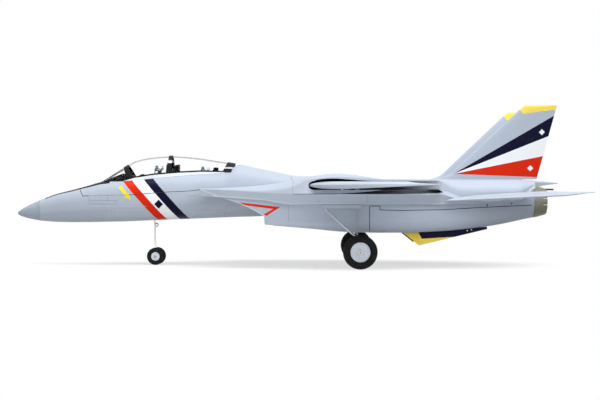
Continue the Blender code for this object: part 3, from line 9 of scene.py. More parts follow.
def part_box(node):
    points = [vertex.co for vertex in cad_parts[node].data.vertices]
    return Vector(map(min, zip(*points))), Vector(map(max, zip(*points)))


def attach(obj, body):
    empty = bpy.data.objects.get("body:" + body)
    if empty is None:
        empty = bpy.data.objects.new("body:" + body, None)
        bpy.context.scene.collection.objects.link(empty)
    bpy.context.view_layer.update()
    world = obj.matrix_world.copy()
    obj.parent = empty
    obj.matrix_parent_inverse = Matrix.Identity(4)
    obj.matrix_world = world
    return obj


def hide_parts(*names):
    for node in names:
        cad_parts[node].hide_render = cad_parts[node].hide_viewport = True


# Looks of a foam swing-wing jet with two ducted fans, nose towards -X, left side towards -Y.
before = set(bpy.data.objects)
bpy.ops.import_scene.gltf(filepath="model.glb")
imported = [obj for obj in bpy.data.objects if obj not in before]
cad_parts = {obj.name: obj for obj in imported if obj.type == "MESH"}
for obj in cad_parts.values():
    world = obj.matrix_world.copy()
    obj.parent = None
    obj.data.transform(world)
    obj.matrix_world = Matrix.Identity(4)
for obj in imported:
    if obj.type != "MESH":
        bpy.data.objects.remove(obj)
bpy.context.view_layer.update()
sides = (("left", -1), ("right", 1))
signs = (-1, 1)
print("frame loaded with %d solids" % len(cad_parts))

fit = 0.0003        # gap between pieces that touch
running = 0.0006    # gap round pieces that turn
farOff = 0.2        # how far a cutting shape runs on past the object
# edges sharper than this stay sharp: as a rule, on small crisp forms, on skins and on soft forms
smoothAngle, fineAngle, skinAngle, wideAngle = 35.0, 30.0, 40.0, 50.0
edgeProfile = 0.7   # how full a broken edge is
mergeWithin = 0.000002
flatWithin = 0.5    # faces of a solid that turn less than this, in degrees, become one
mostSlots = 3       # material slots that a boolean keeps apart
noiseRange = (0.3, 0.7)     # where most of a noise lies


def colourOf(red, green, blue):
    # screen values to the linear ones that nodes take
    return tuple(((v / 255 + 0.055) / 1.055) ** 2.4 if v > 10 else v / 3294.6 for v in (red, green, blue))


palette = {
    "grey": colourOf(183, 192, 205),
    "greyShade": colourOf(150, 160, 176),
    "cone": colourOf(172, 181, 194),
    "seam": colourOf(84, 92, 106),
    "red": colourOf(222, 42, 6),
    "navy": colourOf(6, 7, 40),
    "white": colourOf(248, 250, 252),
    "yellow": colourOf(255, 224, 96),
    "lemon": colourOf(248, 228, 36),
    "mark": colourOf(58, 62, 71),
    "pale": colourOf(214, 220, 228),
    "black": colourOf(14, 14, 16),
    "foam": colourOf(226, 228, 229),
    "olive": colourOf(126, 126, 110),
}


# finishes: one class writes the nodes of a paint in the piece's own X, Y and Z

class Finish:
    def __init__(self, name, colour, roughness=0.5, metallic=0.0):
        self.material = bpy.data.materials.new(name)
        self.material.use_nodes = True
        self.tree = self.material.node_tree
        self.shader = self.tree.nodes["Principled BSDF"]
        self.shader.inputs["Roughness"].default_value = roughness
        self.shader.inputs["Metallic"].default_value = metallic
        self.colour = (*colour, 1.0)
        self.heights = []
        place = self.tree.nodes.new("ShaderNodeTexCoord")
        self.place = place.outputs["Object"]
        split = self.tree.nodes.new("ShaderNodeSeparateXYZ")
        self.tree.links.new(self.place, split.inputs[0])
        self.x, self.y, self.z = split.outputs

    def put(self, socket, value):
        if isinstance(value, bpy.types.NodeSocket):
            self.tree.links.new(value, socket)
        else:
            socket.default_value = value

    def calc(self, operation, *values):
        node = self.tree.nodes.new("ShaderNodeMath")
        node.operation = operation
        for socket, value in zip(node.inputs, values):
            self.put(socket, value)
        return node.outputs[0]

    def near(self, value, middle, reach):
        return self.calc("COMPARE", value, middle, reach)

    def between(self, value, low, high):
        return self.near(value, (low + high) / 2, (high - low) / 2)

    def both(self, *masks):
        out = masks[0]
        for mask in masks[1:]:
            out = self.calc("MULTIPLY", out, mask)
        return out

    def either(self, masks):
        out = masks[0]
        for mask in masks[1:]:
            out = self.calc("MAXIMUM", out, mask)
        return out

    def slant(self, u, v, cu, cv):
        return self.calc("MULTIPLY_ADD", u, cu, self.calc("MULTIPLY", v, cv))

    def inside(self, corners):
        # convex outline on the side, corners in either turning sense
        area = sum(a[0] * b[1] - b[0] * a[1] for a, b in zip(corners, corners[1:] + corners[:1]))
        masks = []
        for a, b in zip(corners, corners[1:] + corners[:1]):
            nu, nv = (a[1] - b[1], b[0] - a[0]) if area > 0 else (b[1] - a[1], a[0] - b[0])
            masks.append(self.calc("GREATER_THAN", self.slant(self.x, self.z, nu, nv), nu * a[0] + nv * a[1]))
        return self.both(*masks)

    def stroke(self, points, width, upward=None):
        # a thin line along a run of points, on the side unless another upward is given
        u, v = self.x, self.z if upward is None else upward
        masks = []
        for a, b in zip(points, points[1:]):
            du, dv = b[0] - a[0], b[1] - a[1]
            length = math.hypot(du, dv)
            du, dv = du / length, dv / length
            along = self.slant(u, v, du, dv)
            across = self.slant(u, v, -dv, du)
            start = a[0] * du + a[1] * dv
            masks.append(self.both(self.between(along, start, start + length),
                                   self.near(across, a[1] * du - a[0] * dv, width / 2)))
        return self.either(masks)

    def over(self, colour, mask):
        # a colour mix has its inputs at 6 and 7 and its result at 2
        node = self.tree.nodes.new("ShaderNodeMix")
        node.data_type = "RGBA"
        self.put(node.inputs[0], mask)
        self.put(node.inputs[6], self.colour)
        self.put(node.inputs[7], (*colour, 1.0))
        self.colour = node.outputs[2]

    def noise(self, scale, detail, stretch):
        where = self.tree.nodes.new("ShaderNodeMapping")
        where.inputs["Scale"].default_value = stretch
        self.put(where.inputs["Vector"], self.place)
        node = self.tree.nodes.new("ShaderNodeTexNoise")
        node.inputs["Scale"].default_value = scale
        node.inputs["Detail"].default_value = detail
        self.put(node.inputs["Vector"], where.outputs[0])
        return node.outputs["Fac"]

    def beads(self, scale):
        node = self.tree.nodes.new("ShaderNodeTexVoronoi")
        node.inputs["Scale"].default_value = scale
        self.put(node.inputs["Vector"], self.place)
        return node.outputs["Distance"]

    def ramp(self, value, low, high, start, end):
        node = self.tree.nodes.new("ShaderNodeMapRange")
        for socket, given in zip(node.inputs, (value, low, high, start, end)):
            self.put(socket, given)
        return node.outputs[0]

    def tint(self, colour, value, low, high, most):
        self.over(colour, self.ramp(value, low, high, 0.0, most))

    def cloud(self, colour, scale, detail, low, high, most, stretch=(1, 1, 1)):
        # a tint that comes in where the noise passes low and is full at high
        self.tint(colour, self.noise(scale, detail, stretch), low, high, most)

    def rough(self, scale, detail, low, high, stretch=(1, 1, 1)):
        noise = self.noise(scale, detail, stretch)
        self.put(self.shader.inputs["Roughness"], self.ramp(noise, *noiseRange, low, high))

    def gloss(self, level):
        self.shader.inputs["Specular IOR Level"].default_value = level

    def bump(self, value, depth):
        self.heights.append(self.calc("MULTIPLY", value, depth))

    def grain(self, scale, detail, depth, stretch=(1, 1, 1)):
        self.bump(self.noise(scale, detail, stretch), depth)

    def done(self):
        self.put(self.shader.inputs["Base Color"], self.colour)
        if self.heights:
            total = self.heights[0]
            for height in self.heights[1:]:
                total = self.calc("ADD", total, height)
            node = self.tree.nodes.new("ShaderNodeBump")
            node.inputs["Distance"].default_value = 1.0
            node.inputs["Strength"].default_value = 1.0
            self.put(node.inputs["Height"], total)
            self.put(self.shader.inputs["Normal"], node.outputs[0])
        return self.material


def finishFrom(name, look, **own):
    # the finish that a dictionary gives, with a piece's own values over it
    look = {**look, **own}
    finish = Finish(name, look["colour"], look.get("rough", 0.5), look.get("metal", 0.0))
    if "gloss" in look:
        finish.gloss(look["gloss"])
    for cloud in look.get("clouds", ()):
        finish.cloud(*cloud)
    if "sheen" in look:
        scale, detail, *stretch = look["sheen"]
        finish.rough(scale, detail, *look["sheenRange"], *stretch)
    if "grain" in look:
        finish.grain(*look["grain"])
    return finish


# clouds: colour, noise scale and detail, levels where it starts and is full, strength, stretch
# sheen: scale, detail and stretch of the noise in the roughness; grain: scale, detail, depth, stretch

foamSkin = {
    "colour": palette["grey"], "gloss": 0.1, "clouds": ((palette["greyShade"], 9.0, 4.0, 0.52, 0.8, 0.22),),
    "sheen": (24.0, 5.0), "sheenRange": (0.36, 0.5), "grain": (1500.0, 2.0, 0.000006),
    "grime": (55.0, 6.0, 0.6, 0.9, 0.1), "beadScale": 360.0, "beadDepth": 0.000012,
    "seamDepth": -0.00012, "seamStrength": 0.62,
}


def skinPaint(name, colour=palette["grey"]):
    # satin paint over moulded foam, with a cloudy shade
    return finishFrom(name, foamSkin, colour=colour)


def skinDone(paint, seams=None, strength=foamSkin["seamStrength"]):
    # seams, handled patches and the beads of the foam over all
    if seams is not None:
        paint.over(palette["seam"], paint.both(seams, strength))
        paint.bump(seams, foamSkin["seamDepth"])
    paint.cloud(palette["seam"], *foamSkin["grime"])
    paint.bump(paint.beads(foamSkin["beadScale"]), foamSkin["beadDepth"])
    return paint.done()


# shapes

def partWay(first, last, share):
    return first + (last - first) * share


def fullTurn(count):
    return [2 * math.pi * k / count for k in range(count)]


def loft(rings, closed=False):
    shape = bmesh.new()
    loops = [[shape.verts.new(point) for point in ring] for ring in rings]
    pairs = list(zip(loops, loops[1:]))
    if closed:
        pairs.append((loops[-1], loops[0]))
    for first, second in pairs:
        for i in range(len(first)):
            j = (i + 1) % len(first)
            shape.faces.new((first[i], first[j], second[j], second[i]))
    if not closed:
        shape.faces.new(loops[0])
        shape.faces.new(loops[-1])
    bmesh.ops.recalc_face_normals(shape, faces=shape.faces)
    return shape


def sidePrism(outline, y0, y1):
    return loft([[Vector((x, y, z)) for x, z in outline] for y in (y0, y1)])


def block(low, high):
    corners = ((low[0], low[1]), (high[0], low[1]), (high[0], high[1]), (low[0], high[1]))
    return loft([[Vector((x, y, z)) for x, y in corners] for z in (low[2], high[2])])


def spun(profile, count, ring=False):
    # (along X, radius) points turned about the X axis
    shape = bmesh.new()
    loops = []
    for along, radius in profile:
        if radius == 0:
            loops.append([shape.verts.new((along, 0, 0))])
            continue
        loops.append([shape.verts.new((along, radius * math.cos(a), radius * math.sin(a)))
                      for a in fullTurn(count)])
    pairs = list(zip(loops, loops[1:]))
    if ring:
        pairs.append((loops[-1], loops[0]))
    for first, second in pairs:
        for i in range(count):
            j = (i + 1) % count
            corners = [loop[k % len(loop)] for loop, k in ((first, i), (first, j), (second, j), (second, i))]
            shape.faces.new(list(dict.fromkeys(corners)))
    bmesh.ops.recalc_face_normals(shape, faces=shape.faces)
    return shape


def moved(shape, place=(0, 0, 0), axis=None, degrees=0.0, scale=None):
    matrix = Matrix.Translation(Vector(place))
    if axis:
        matrix = matrix @ Matrix.Rotation(math.radians(degrees), 4, axis)
    if scale:
        matrix = matrix @ Matrix.Diagonal((*scale, 1))
    bmesh.ops.transform(shape, matrix=matrix, verts=shape.verts)
    return shape


def rod(start, end, radius, count=24):
    start = Vector(start)
    along = Vector(end) - start
    shape = spun([(0, 0), (0, radius), (along.length, radius), (along.length, 0)], count)
    aim = Vector((1, 0, 0)).rotation_difference(along).to_matrix().to_4x4()
    bmesh.ops.transform(shape, matrix=Matrix.Translation(start) @ aim, verts=shape.verts)
    return shape


def wire(points, radius, count=16):
    rings = []
    across = None
    for i, point in enumerate(points):
        along = (points[min(i + 1, len(points) - 1)] - points[max(i - 1, 0)]).normalized()
        across = along.orthogonal() if across is None else across
        across = (across - along * across.dot(along)).normalized()
        upward = along.cross(across)
        rings.append([point + radius * (math.cos(a) * across + math.sin(a) * upward)
                      for a in fullTurn(count)])
    return loft(rings)


def meshOf(shape, name):
    mesh = bpy.data.meshes.new(name)
    shape.to_mesh(mesh)
    shape.free()
    return mesh


def placed(name, data):
    item = bpy.data.objects.new(name, data)
    bpy.context.scene.collection.objects.link(item)
    return item


def together(shapes):
    whole = bmesh.new()
    for shape in shapes:
        mesh = meshOf(shape, "part")
        whole.from_mesh(mesh)
        bpy.data.meshes.remove(mesh)
    return whole


def marked(shape, number):
    for face in shape.faces:
        face.material_index = number
    return shape


def joined(shape, other, operation="DIFFERENCE", mark=0):
    # boolean of two shapes; faces that come from the second take the material numbered mark
    stand = []
    for item in (shape, marked(other, mark)):
        mesh = meshOf(item, "stand")
        for _ in range(mostSlots):
            mesh.materials.append(None)
        stand.append(placed("stand", mesh))
    step = stand[0].modifiers.new("joined", "BOOLEAN")
    step.operation = operation
    step.solver = "EXACT"
    step.object = stand[1]
    bpy.context.view_layer.update()
    result = bmesh.new()
    result.from_object(stand[0], bpy.context.evaluated_depsgraph_get())
    for item in stand:
        mesh = item.data
        bpy.data.objects.remove(item)
        bpy.data.meshes.remove(mesh)
    return result


def softEdges(shape, width, angle=skinAngle, segments=2):
    edges = [e for e in shape.edges if len(e.link_faces) == 2 and e.calc_face_angle(0) > math.radians(angle)]
    bmesh.ops.bevel(shape, geom=edges, offset=width, segments=segments, profile=edgeProfile, affect="EDGES",
                    clamp_overlap=True)
    return shape


def smoothed(mesh, angle):
    mesh.shade_smooth()
    mesh.set_sharp_from_angle(angle=math.radians(angle))
    return mesh


def fitted(item, body, node):
    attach(item, body)
    if node:
        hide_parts(node)


def setPiece(name, shape, finishes, body, node=None, angle=smoothAngle):
    mesh = meshOf(shape, name)
    for finish in finishes if isinstance(finishes, list) else [finishes]:
        mesh.materials.append(finish)
    fitted(placed(name, smoothed(mesh, angle)), body, node)


def foamPiece(name, shape, finishes, node, body="airframe", angle=skinAngle):
    setPiece(name, shape, finishes, body, node, angle)


def solidCopy(node):
    # a merged copy of a CAD solid
    shape = bmesh.new()
    shape.from_mesh(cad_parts[node].data)
    bmesh.ops.remove_doubles(shape, verts=shape.verts, dist=mergeWithin)
    bmesh.ops.dissolve_limit(shape, angle_limit=math.radians(flatWithin), verts=shape.verts,
                             edges=shape.edges)
    return shape


def smoothAt(knotsX, knotsY, xs):
    # monotone cubic through the knots, so nothing overshoots
    knotsX, knotsY, xs = (np.asarray(v, float) for v in (knotsX, knotsY, xs))
    h = np.diff(knotsX)
    d = np.diff(knotsY) / h
    m = np.concatenate([[d[0]], np.zeros(len(d) - 1), [d[-1]]])
    for k in range(1, len(d)):
        if d[k - 1] * d[k] > 0:
            a, b = 2 * h[k] + h[k - 1], h[k] + 2 * h[k - 1]
            m[k] = (a + b) / (a / d[k - 1] + b / d[k])
    i = np.clip(np.searchsorted(knotsX, xs, side="right") - 1, 0, len(d) - 1)
    t = np.clip((xs - knotsX[i]) / h[i], 0, 1)
    return ((2 * t ** 3 - 3 * t ** 2 + 1) * knotsY[i] + (t ** 3 - 2 * t ** 2 + t) * h[i] * m[i]
            + (3 * t ** 2 - 2 * t ** 3) * knotsY[i + 1] + (t ** 3 - t ** 2) * h[i] * m[i + 1])


def smoothRows(table, xs):
    columns = list(zip(*table))
    return np.array([smoothAt(columns[0], column, xs) for column in columns]).T


def evenly(start, end, spacing):
    # places from start to end, about a spacing apart
    count = max(2, round((end - start) / spacing) + 1)
    return np.linspace(start, end, count)


def ovalRing(x, halfWidth, low, middle, high, roundLow, roundHigh, count=112, grow=0.0):
    ring = []
    for k in range(count):
        angle = 2 * math.pi * (k + 0.5) / count
        c, s = math.cos(angle), math.sin(angle)
        power = 2 / (roundHigh if s > 0 else roundLow)
        height = (high - middle if s > 0 else middle - low) + grow
        ring.append(Vector((x, (halfWidth + grow) * math.copysign(abs(c) ** power, c),
                            middle + height * math.copysign(abs(s) ** power, s))))
    return ring


def mirrored(rings, side):
    return [[Vector((p.x, side * p.y, p.z)) for p in ring] for ring in rings]


# Geometry Nodes: copies of one small mesh at marked points, turned as each point says

def spreadTree():
    tree = bpy.data.node_groups.new("spreadCopies", "GeometryNodeTree")
    names = {}
    for label, kind in (("Geometry", "Geometry"), ("Unit", "Object"), ("Size", "Float"),
                        ("Finish", "Material")):
        entry = tree.interface.new_socket(label, in_out="INPUT", socket_type="NodeSocket" + kind)
        names[label] = entry.identifier
    tree.interface.new_socket("Geometry", in_out="OUTPUT", socket_type="NodeSocketGeometry")
    enter, leave, unit, turn, euler, copies, real, paint = (tree.nodes.new(kind) for kind in (
        "NodeGroupInput", "NodeGroupOutput", "GeometryNodeObjectInfo", "GeometryNodeInputNamedAttribute",
        "FunctionNodeEulerToRotation", "GeometryNodeInstanceOnPoints", "GeometryNodeRealizeInstances",
        "GeometryNodeSetMaterial"))
    turn.data_type = "FLOAT_VECTOR"
    turn.inputs["Name"].default_value = "turn"
    for start, output, end, entry in (
            (enter, "Geometry", copies, "Points"), (enter, "Unit", unit, "Object"),
            (unit, "Geometry", copies, "Instance"), (turn, "Attribute", euler, 0),
            (euler, 0, copies, "Rotation"), (enter, "Size", copies, "Scale"),
            (copies, "Instances", real, "Geometry"), (real, "Geometry", paint, "Geometry"),
            (enter, "Finish", paint, "Material"), (paint, "Geometry", leave, "Geometry")):
        tree.links.new(start.outputs[output], end.inputs[entry])
    return tree, names


copyTree, copyInputs = spreadTree()


def spread(name, unitShape, places, finish, body, node=None, size=1.0, angle=smoothAngle):
    # places: (point, euler turn) for each copy
    unit = placed(name + "_unit", smoothed(meshOf(unitShape, name + "_unit"), angle))
    points = bpy.data.meshes.new(name + "_points")
    points.from_pydata([tuple(point) for point, turn in places], [], [])
    turns = points.attributes.new("turn", "FLOAT_VECTOR", "POINT")
    turns.data.foreach_set("vector", [v for point, turn in places for v in turn])
    item = placed(name, points)
    step = item.modifiers.new("spread", "NODES")
    step.node_group = copyTree
    for label, value in (("Unit", unit), ("Size", size), ("Finish", finish)):
        step[copyInputs[label]] = value
    bpy.context.view_layer.update()
    plain = bpy.data.meshes.new_from_object(item.evaluated_get(bpy.context.evaluated_depsgraph_get()))
    item.modifiers.remove(step)
    item.data = plain
    plain.name = name
    bpy.data.objects.remove(unit)
    fitted(item, body, node)


# dark plastic of the cockpit, ducts and trim

blackPlastic = {
    "colour": palette["black"], "gloss": 0.18,
    "clouds": ((colourOf(46, 46, 50), 120.0, 5.0, 0.5, 0.85, 0.3),),
    "sheen": (300.0, 4.0), "sheenRange": (0.42, 0.62), "grain": (2600.0, 2.0, 0.00001),
}
blackTrim = finishFrom("blackTrim", blackPlastic).done()
hookGrey = finishFrom("hookGrey", blackPlastic, colour=colourOf(108, 108, 106)).done()


# forward fuselage: x, half width, bottom, widest level, top

forward = {
    "stations": (
        (-0.3477, 0.0140, 0.0612, 0.0760, 0.0901), (-0.3254, 0.0190, 0.0594, 0.0790, 0.0984),
        (-0.3032, 0.0225, 0.0590, 0.0815, 0.1040), (-0.2800, 0.0250, 0.0591, 0.0840, 0.1103),
        (-0.2600, 0.0268, 0.0595, 0.0860, 0.1158), (-0.2295, 0.0290, 0.0602, 0.0885, 0.1195),
        (-0.2000, 0.0306, 0.0614, 0.0905, 0.1232), (-0.1670, 0.0324, 0.0628, 0.0930, 0.1260),
        (-0.1300, 0.0345, 0.0642, 0.0955, 0.1280), (-0.0920, 0.0362, 0.0658, 0.0970, 0.1297),
        (-0.0700, 0.0368, 0.0666, 0.0980, 0.1388), (-0.0470, 0.0366, 0.0672, 0.0990, 0.1346),
        (-0.0250, 0.0352, 0.0690, 0.1000, 0.1297), (0.0026, 0.0330, 0.0720, 0.1010, 0.1242)),
    "round": (2.5, 2.7),
    "spacing": 0.0025,
    "parting": ((-0.292, 0.1075), (-0.285, 0.0957), (-0.224, 0.0968), (-0.171, 0.101), (-0.136, 0.1026),
                (-0.117, 0.105)),
    "partingRear": (0.0056, 0.105),
    "skin": 0.003,
    "bay": (-0.272, -0.16, -0.01),     # front, step and rear of the battery bay
    "floors": (0.066, 0.0742),
    "well": ((-0.214, -0.015, 0.106), (-0.1, 0.015, farOff)),
    "legHole": (-0.1888, 0.0016, 0.076),       # x, radius and top
    "tipZ": 0.0716, "tipRadius": 0.0008, "tipRise": 0.03, "tipFlat": 0.15, "swell": 0.68,
    # rings of the nose cone as shares of its length, close at the tip and then even
    "tipRings": (0.0, 0.004, 0.015, 0.035, 0.06, 0.09, 0.13), "evenRings": (0.18, 1.0, 24), "conePoints": 96,
    "angle": 28.0,
}

markings = {
    "stripeLean": 0.896, "stripeLevel": 0.09,
    "stripes": (("red", -0.2068, -0.193), ("white", -0.193, -0.1758), ("navy", -0.1758, -0.1616)),
    "arrow": ((-0.2335, 0.1087), (-0.218, 0.0903)),
    "arrowWidth": 0.0045, "arrowHead": 0.0078, "arrowNeck": 0.62,
    "diamond": (-0.1793, 0.0845, 0.0062),
    "glareEnds": (-0.34, -0.249), "glareHalf": (0.01, 0.0185), "glareLevel": 0.08,
    "bowFoot": ((-0.0908, 0.1278), (-0.0804, 0.1278), (-0.0783, 0.1328), (-0.0887, 0.1328)),
    "seamWidth": 0.00055, "seamStrength": 0.34, "partingWidth": 0.0008,
    "panels": (
        ((-0.2757, 0.0893), (-0.237, 0.0893), (-0.237, 0.0847), (-0.2757, 0.0847), (-0.2757, 0.0893)),
        ((-0.25, 0.0893), (-0.25, 0.096)), ((-0.2757, 0.0893), (-0.2757, 0.0955)),
        ((-0.0757, 0.0833), (-0.0847, 0.0833), (-0.0903, 0.0692)), ((-0.1208, 0.0765), (-0.0869, 0.0765)),
        ((-0.139, 0.0957), (-0.126, 0.0957)), ((-0.3465, 0.069), (-0.3465, 0.083))),
    "scribed": (
        ((-0.275, 0.0815), (-0.196, 0.0815)), ((-0.2484, 0.0815), (-0.2484, 0.066)),
        ((-0.2365, 0.0815), (-0.2365, 0.066)), ((-0.2365, 0.076), (-0.196, 0.076))),
    "scribedStrength": 0.5,
}


def diamondAt(x, z, reach):
    return [(x - reach, z), (x, z - reach), (x + reach, z), (x, z + reach)]


def forwardPaint(name):
    paint = skinPaint(name)
    lean = paint.slant(paint.x, paint.z, 1.0, markings["stripeLean"])
    level = markings["stripeLean"] * markings["stripeLevel"]
    for colour, start, end in markings["stripes"]:
        paint.over(palette[colour], paint.between(lean, start + level, end + level))
    tail, tip = (Vector(end) for end in markings["arrow"])
    along = (tip - tail).normalized()
    aside = Vector((-along.y, along.x)) / 2
    neck = tail.lerp(tip, markings["arrowNeck"])
    half, wide = aside * markings["arrowWidth"], aside * markings["arrowHead"]
    shaft = paint.inside([tail + half, neck + half, neck - half, tail - half])
    paint.over(palette["lemon"], paint.either([shaft, paint.inside([neck + wide, tip, neck - wide])]))
    paint.over(palette["navy"], paint.inside(diamondAt(*markings["diamond"])))
    width = paint.ramp(paint.x, *markings["glareEnds"], *markings["glareHalf"])
    glare = paint.both(paint.calc("LESS_THAN", paint.calc("ABSOLUTE", paint.y), width),
                       paint.between(paint.x, *markings["glareEnds"]),
                       paint.calc("GREATER_THAN", paint.z, markings["glareLevel"]))
    paint.over(palette["black"], paint.either([glare, paint.inside(markings["bowFoot"])]))
    parting = (*forward["parting"], forward["partingRear"])
    paint.over(palette["mark"], paint.stroke(parting, markings["partingWidth"]))
    scribed, seams = (paint.either([paint.stroke(run, markings["seamWidth"]) for run in markings[key]])
                      for key in ("scribed", "panels"))
    paint.over(palette["pale"], paint.both(scribed, markings["scribedStrength"]))
    return skinDone(paint, seams, markings["seamStrength"])


cutFoam = {"colour": palette["foam"], "rough": 0.8, "beadScale": 300.0, "beadTint": (0.35, 0.9, 0.35),
           "beadDepth": 0.00008}


def rawFoam(name):
    paint = finishFrom(name, cutFoam)
    beads = paint.beads(cutFoam["beadScale"])
    paint.tint(palette["greyShade"], beads, *cutFoam["beadTint"])
    paint.bump(beads, cutFoam["beadDepth"])
    return paint.done()


def forwardLoft(grow=0.0, front=None, rear=None, floor=None):
    table = forward["stations"]
    xs = evenly(front or table[0][0], rear or table[-1][0], forward["spacing"])
    rings = []
    for row in smoothRows(table, xs):
        ring = ovalRing(*row, *forward["round"], grow=grow)
        if floor is not None:
            ring = [Vector((p.x, p.y, max(p.z, floor))) for p in ring]
        rings.append(ring)
    return loft(rings)


def partingShape(drop):
    line = [(x, z - drop) for x, z in forward["parting"]]
    rearX, rearZ = forward["partingRear"]
    outline = [(line[0][0] - drop, farOff), (line[0][0] - drop, line[0][1])] + line[1:]
    return sidePrism(outline + [(rearX, rearZ - drop), (rearX, farOff)], -farOff, farOff)


def buildForward():
    skin = forwardPaint("nosePaint")
    tub = joined(forwardLoft(), partingShape(fit))
    front, stepX, rear = forward["bay"]
    for start, end, floor in zip((front, stepX - fit), (stepX, rear), forward["floors"]):
        tub = joined(tub, forwardLoft(-forward["skin"], start, end, floor), mark=1)
    holeX, holeR, holeTop = forward["legHole"]
    tub = joined(tub, rod((holeX, 0, 0), (holeX, 0, holeTop), holeR), mark=1)
    finishes = [skin, rawFoam("rawFoam")]
    foamPiece("noseTubShell", tub, finishes, "nose_tub", angle=forward["angle"])
    shell = joined(forwardLoft(), partingShape(0.0), "INTERSECT")
    shell = joined(shell, block(*forward["well"]), mark=1)
    foamPiece("hatchShell", shell, [skin, blackTrim], "hatch", "hatch", forward["angle"])


def buildNoseCone():
    # a round tip that swells to the seam with the forward fuselage
    seamX, half, bottom, _, top = forward["stations"][0]
    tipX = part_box("nose_cone")[0].x
    seamZ = (bottom + top) / 2
    small = forward["tipRadius"]
    rings = []
    for share in (*forward["tipRings"], *np.linspace(*forward["evenRings"])):
        swell = share ** forward["swell"]
        middle = partWay(forward["tipZ"], seamZ, share)
        tip = small * (min(1.0, share / forward["tipRise"]) ** 0.5 if share else forward["tipFlat"])
        wide, down, up = (tip + (reach - small) * swell for reach in (half, seamZ - bottom, top - seamZ))
        x = partWay(tipX, seamX - fit, share)
        rings.append(ovalRing(x, wide, middle - down, middle, middle + up, *forward["round"],
                              forward["conePoints"]))
    finish = skinDone(skinPaint("conePaint", palette["cone"]))
    foamPiece("noseConeShell", loft(rings), finish, "nose_cone", angle=smoothAngle)


buildForward()
buildNoseCone()
print("forward fuselage done")


# canopy: x, half width, top

canopy = {
    "stations": ((-0.2625, 0.01, 0.1148), (-0.2295, 0.0175, 0.136), (-0.214, 0.0192, 0.1443),
                 (-0.192, 0.0205, 0.1489), (-0.164, 0.021, 0.1508), (-0.125, 0.021, 0.1478),
                 (-0.103, 0.0206, 0.1443), (-0.081, 0.02, 0.1408), (-0.069, 0.0196, 0.1385)),
    "base": 0.11, "under": 0.003, "round": 2.3, "spacing": 0.002, "points": 72,
    "wall": 0.001, "proud": 0.0009, "sill": 0.001, "frontOff": 0.003,
    "sillLine": ((-0.258, 0.115), (-0.23, 0.1172), (-0.216, 0.1214), (-0.1881, 0.1257),
                 (-0.1527, 0.1287), (-0.1243, 0.13), (-0.086, 0.1292)),
    # x at the sill, x at the crown and half width of each bow
    "bows": ((-0.2205, -0.2283, 0.0038), (-0.1656, -0.1656, 0.0025), (-0.086, -0.081, 0.0062)),
    # painted reflections: pale bands across the middle and rear bows
    "bands": (((-0.172, -0.16), (0.1412, 0.1446)), ((-0.096, -0.069), (0.1336, 0.135))),
    # the black ends a little below the sill line, and runs on past its ends
    "sillDrop": 0.0011, "blackFront": (0.008, 0.003), "blackRear": 0.03, "bowRear": 0.0045,
    # white of the frame, which below the sill is a painted highlight
    "rimHighlightWhite": colourOf(238, 242, 247), "coat": 0.2, "coatRough": 0.06,
    "edgeGrey": colourOf(62, 64, 68), "edgeBlend": 0.5, "edgeRange": (0.56, 0.84), "bendsLight": 1.06,
    "pillarAcross": 0.007, "pillarSpread": (0.7, 1.1), "pillarRadius": 0.0006, "pillarPoints": 14,
    "pillarRound": 10, "coamingHalf": 0.02,
    "coaming": ((-0.2593, 0.113), (-0.2593, 0.1164), (-0.2313, 0.1267), (-0.223, 0.1262), (-0.2155, 0.1222),
                (-0.2155, 0.113)),
}


def canopyLoft(grow):
    table = canopy["stations"]
    rings = []
    for x, half, top in smoothRows(table, evenly(table[0][0], table[-1][0], canopy["spacing"])):
        rings.append(ovalRing(x, half, canopy["base"] - canopy["under"], canopy["base"], top, canopy["round"],
                              canopy["round"], canopy["points"], grow))
    return loft(rings)


def canopyTopAt(x, y):
    half, top = smoothRows(canopy["stations"], [x])[0][1:]
    bulge = (1 - abs(y / half) ** canopy["round"]) ** (1 / canopy["round"])
    return partWay(canopy["base"], top, bulge)


def sillAt(x):
    xs, zs = zip(*canopy["sillLine"])
    return float(np.interp(x, xs, zs))


def bowEdge(bow, side):
    # one edge of a bow, from the sill up past the crown
    atSill, atCrown, half = bow
    foot = (atSill + side * half, sillAt(atSill + side * half) + canopy["sill"])
    lean = (atCrown - atSill) / (canopyTopAt(atCrown, 0.0) - foot[1])
    return [foot, (foot[0] + lean * (farOff - foot[1]), farOff)]


def clearGlass(name):
    # clear sheet that greys at its edges, where one looks along it
    glass = Finish(name, (1, 1, 1), 0.0)
    edge = glass.tree.nodes.new("ShaderNodeLayerWeight")
    edge.inputs["Blend"].default_value = canopy["edgeBlend"]
    glass.tint(canopy["edgeGrey"], edge.outputs["Facing"], *canopy["edgeRange"], 1.0)
    glass.shader.inputs["Transmission Weight"].default_value = 1.0
    glass.shader.inputs["IOR"].default_value = canopy["bendsLight"]
    return glass.done()


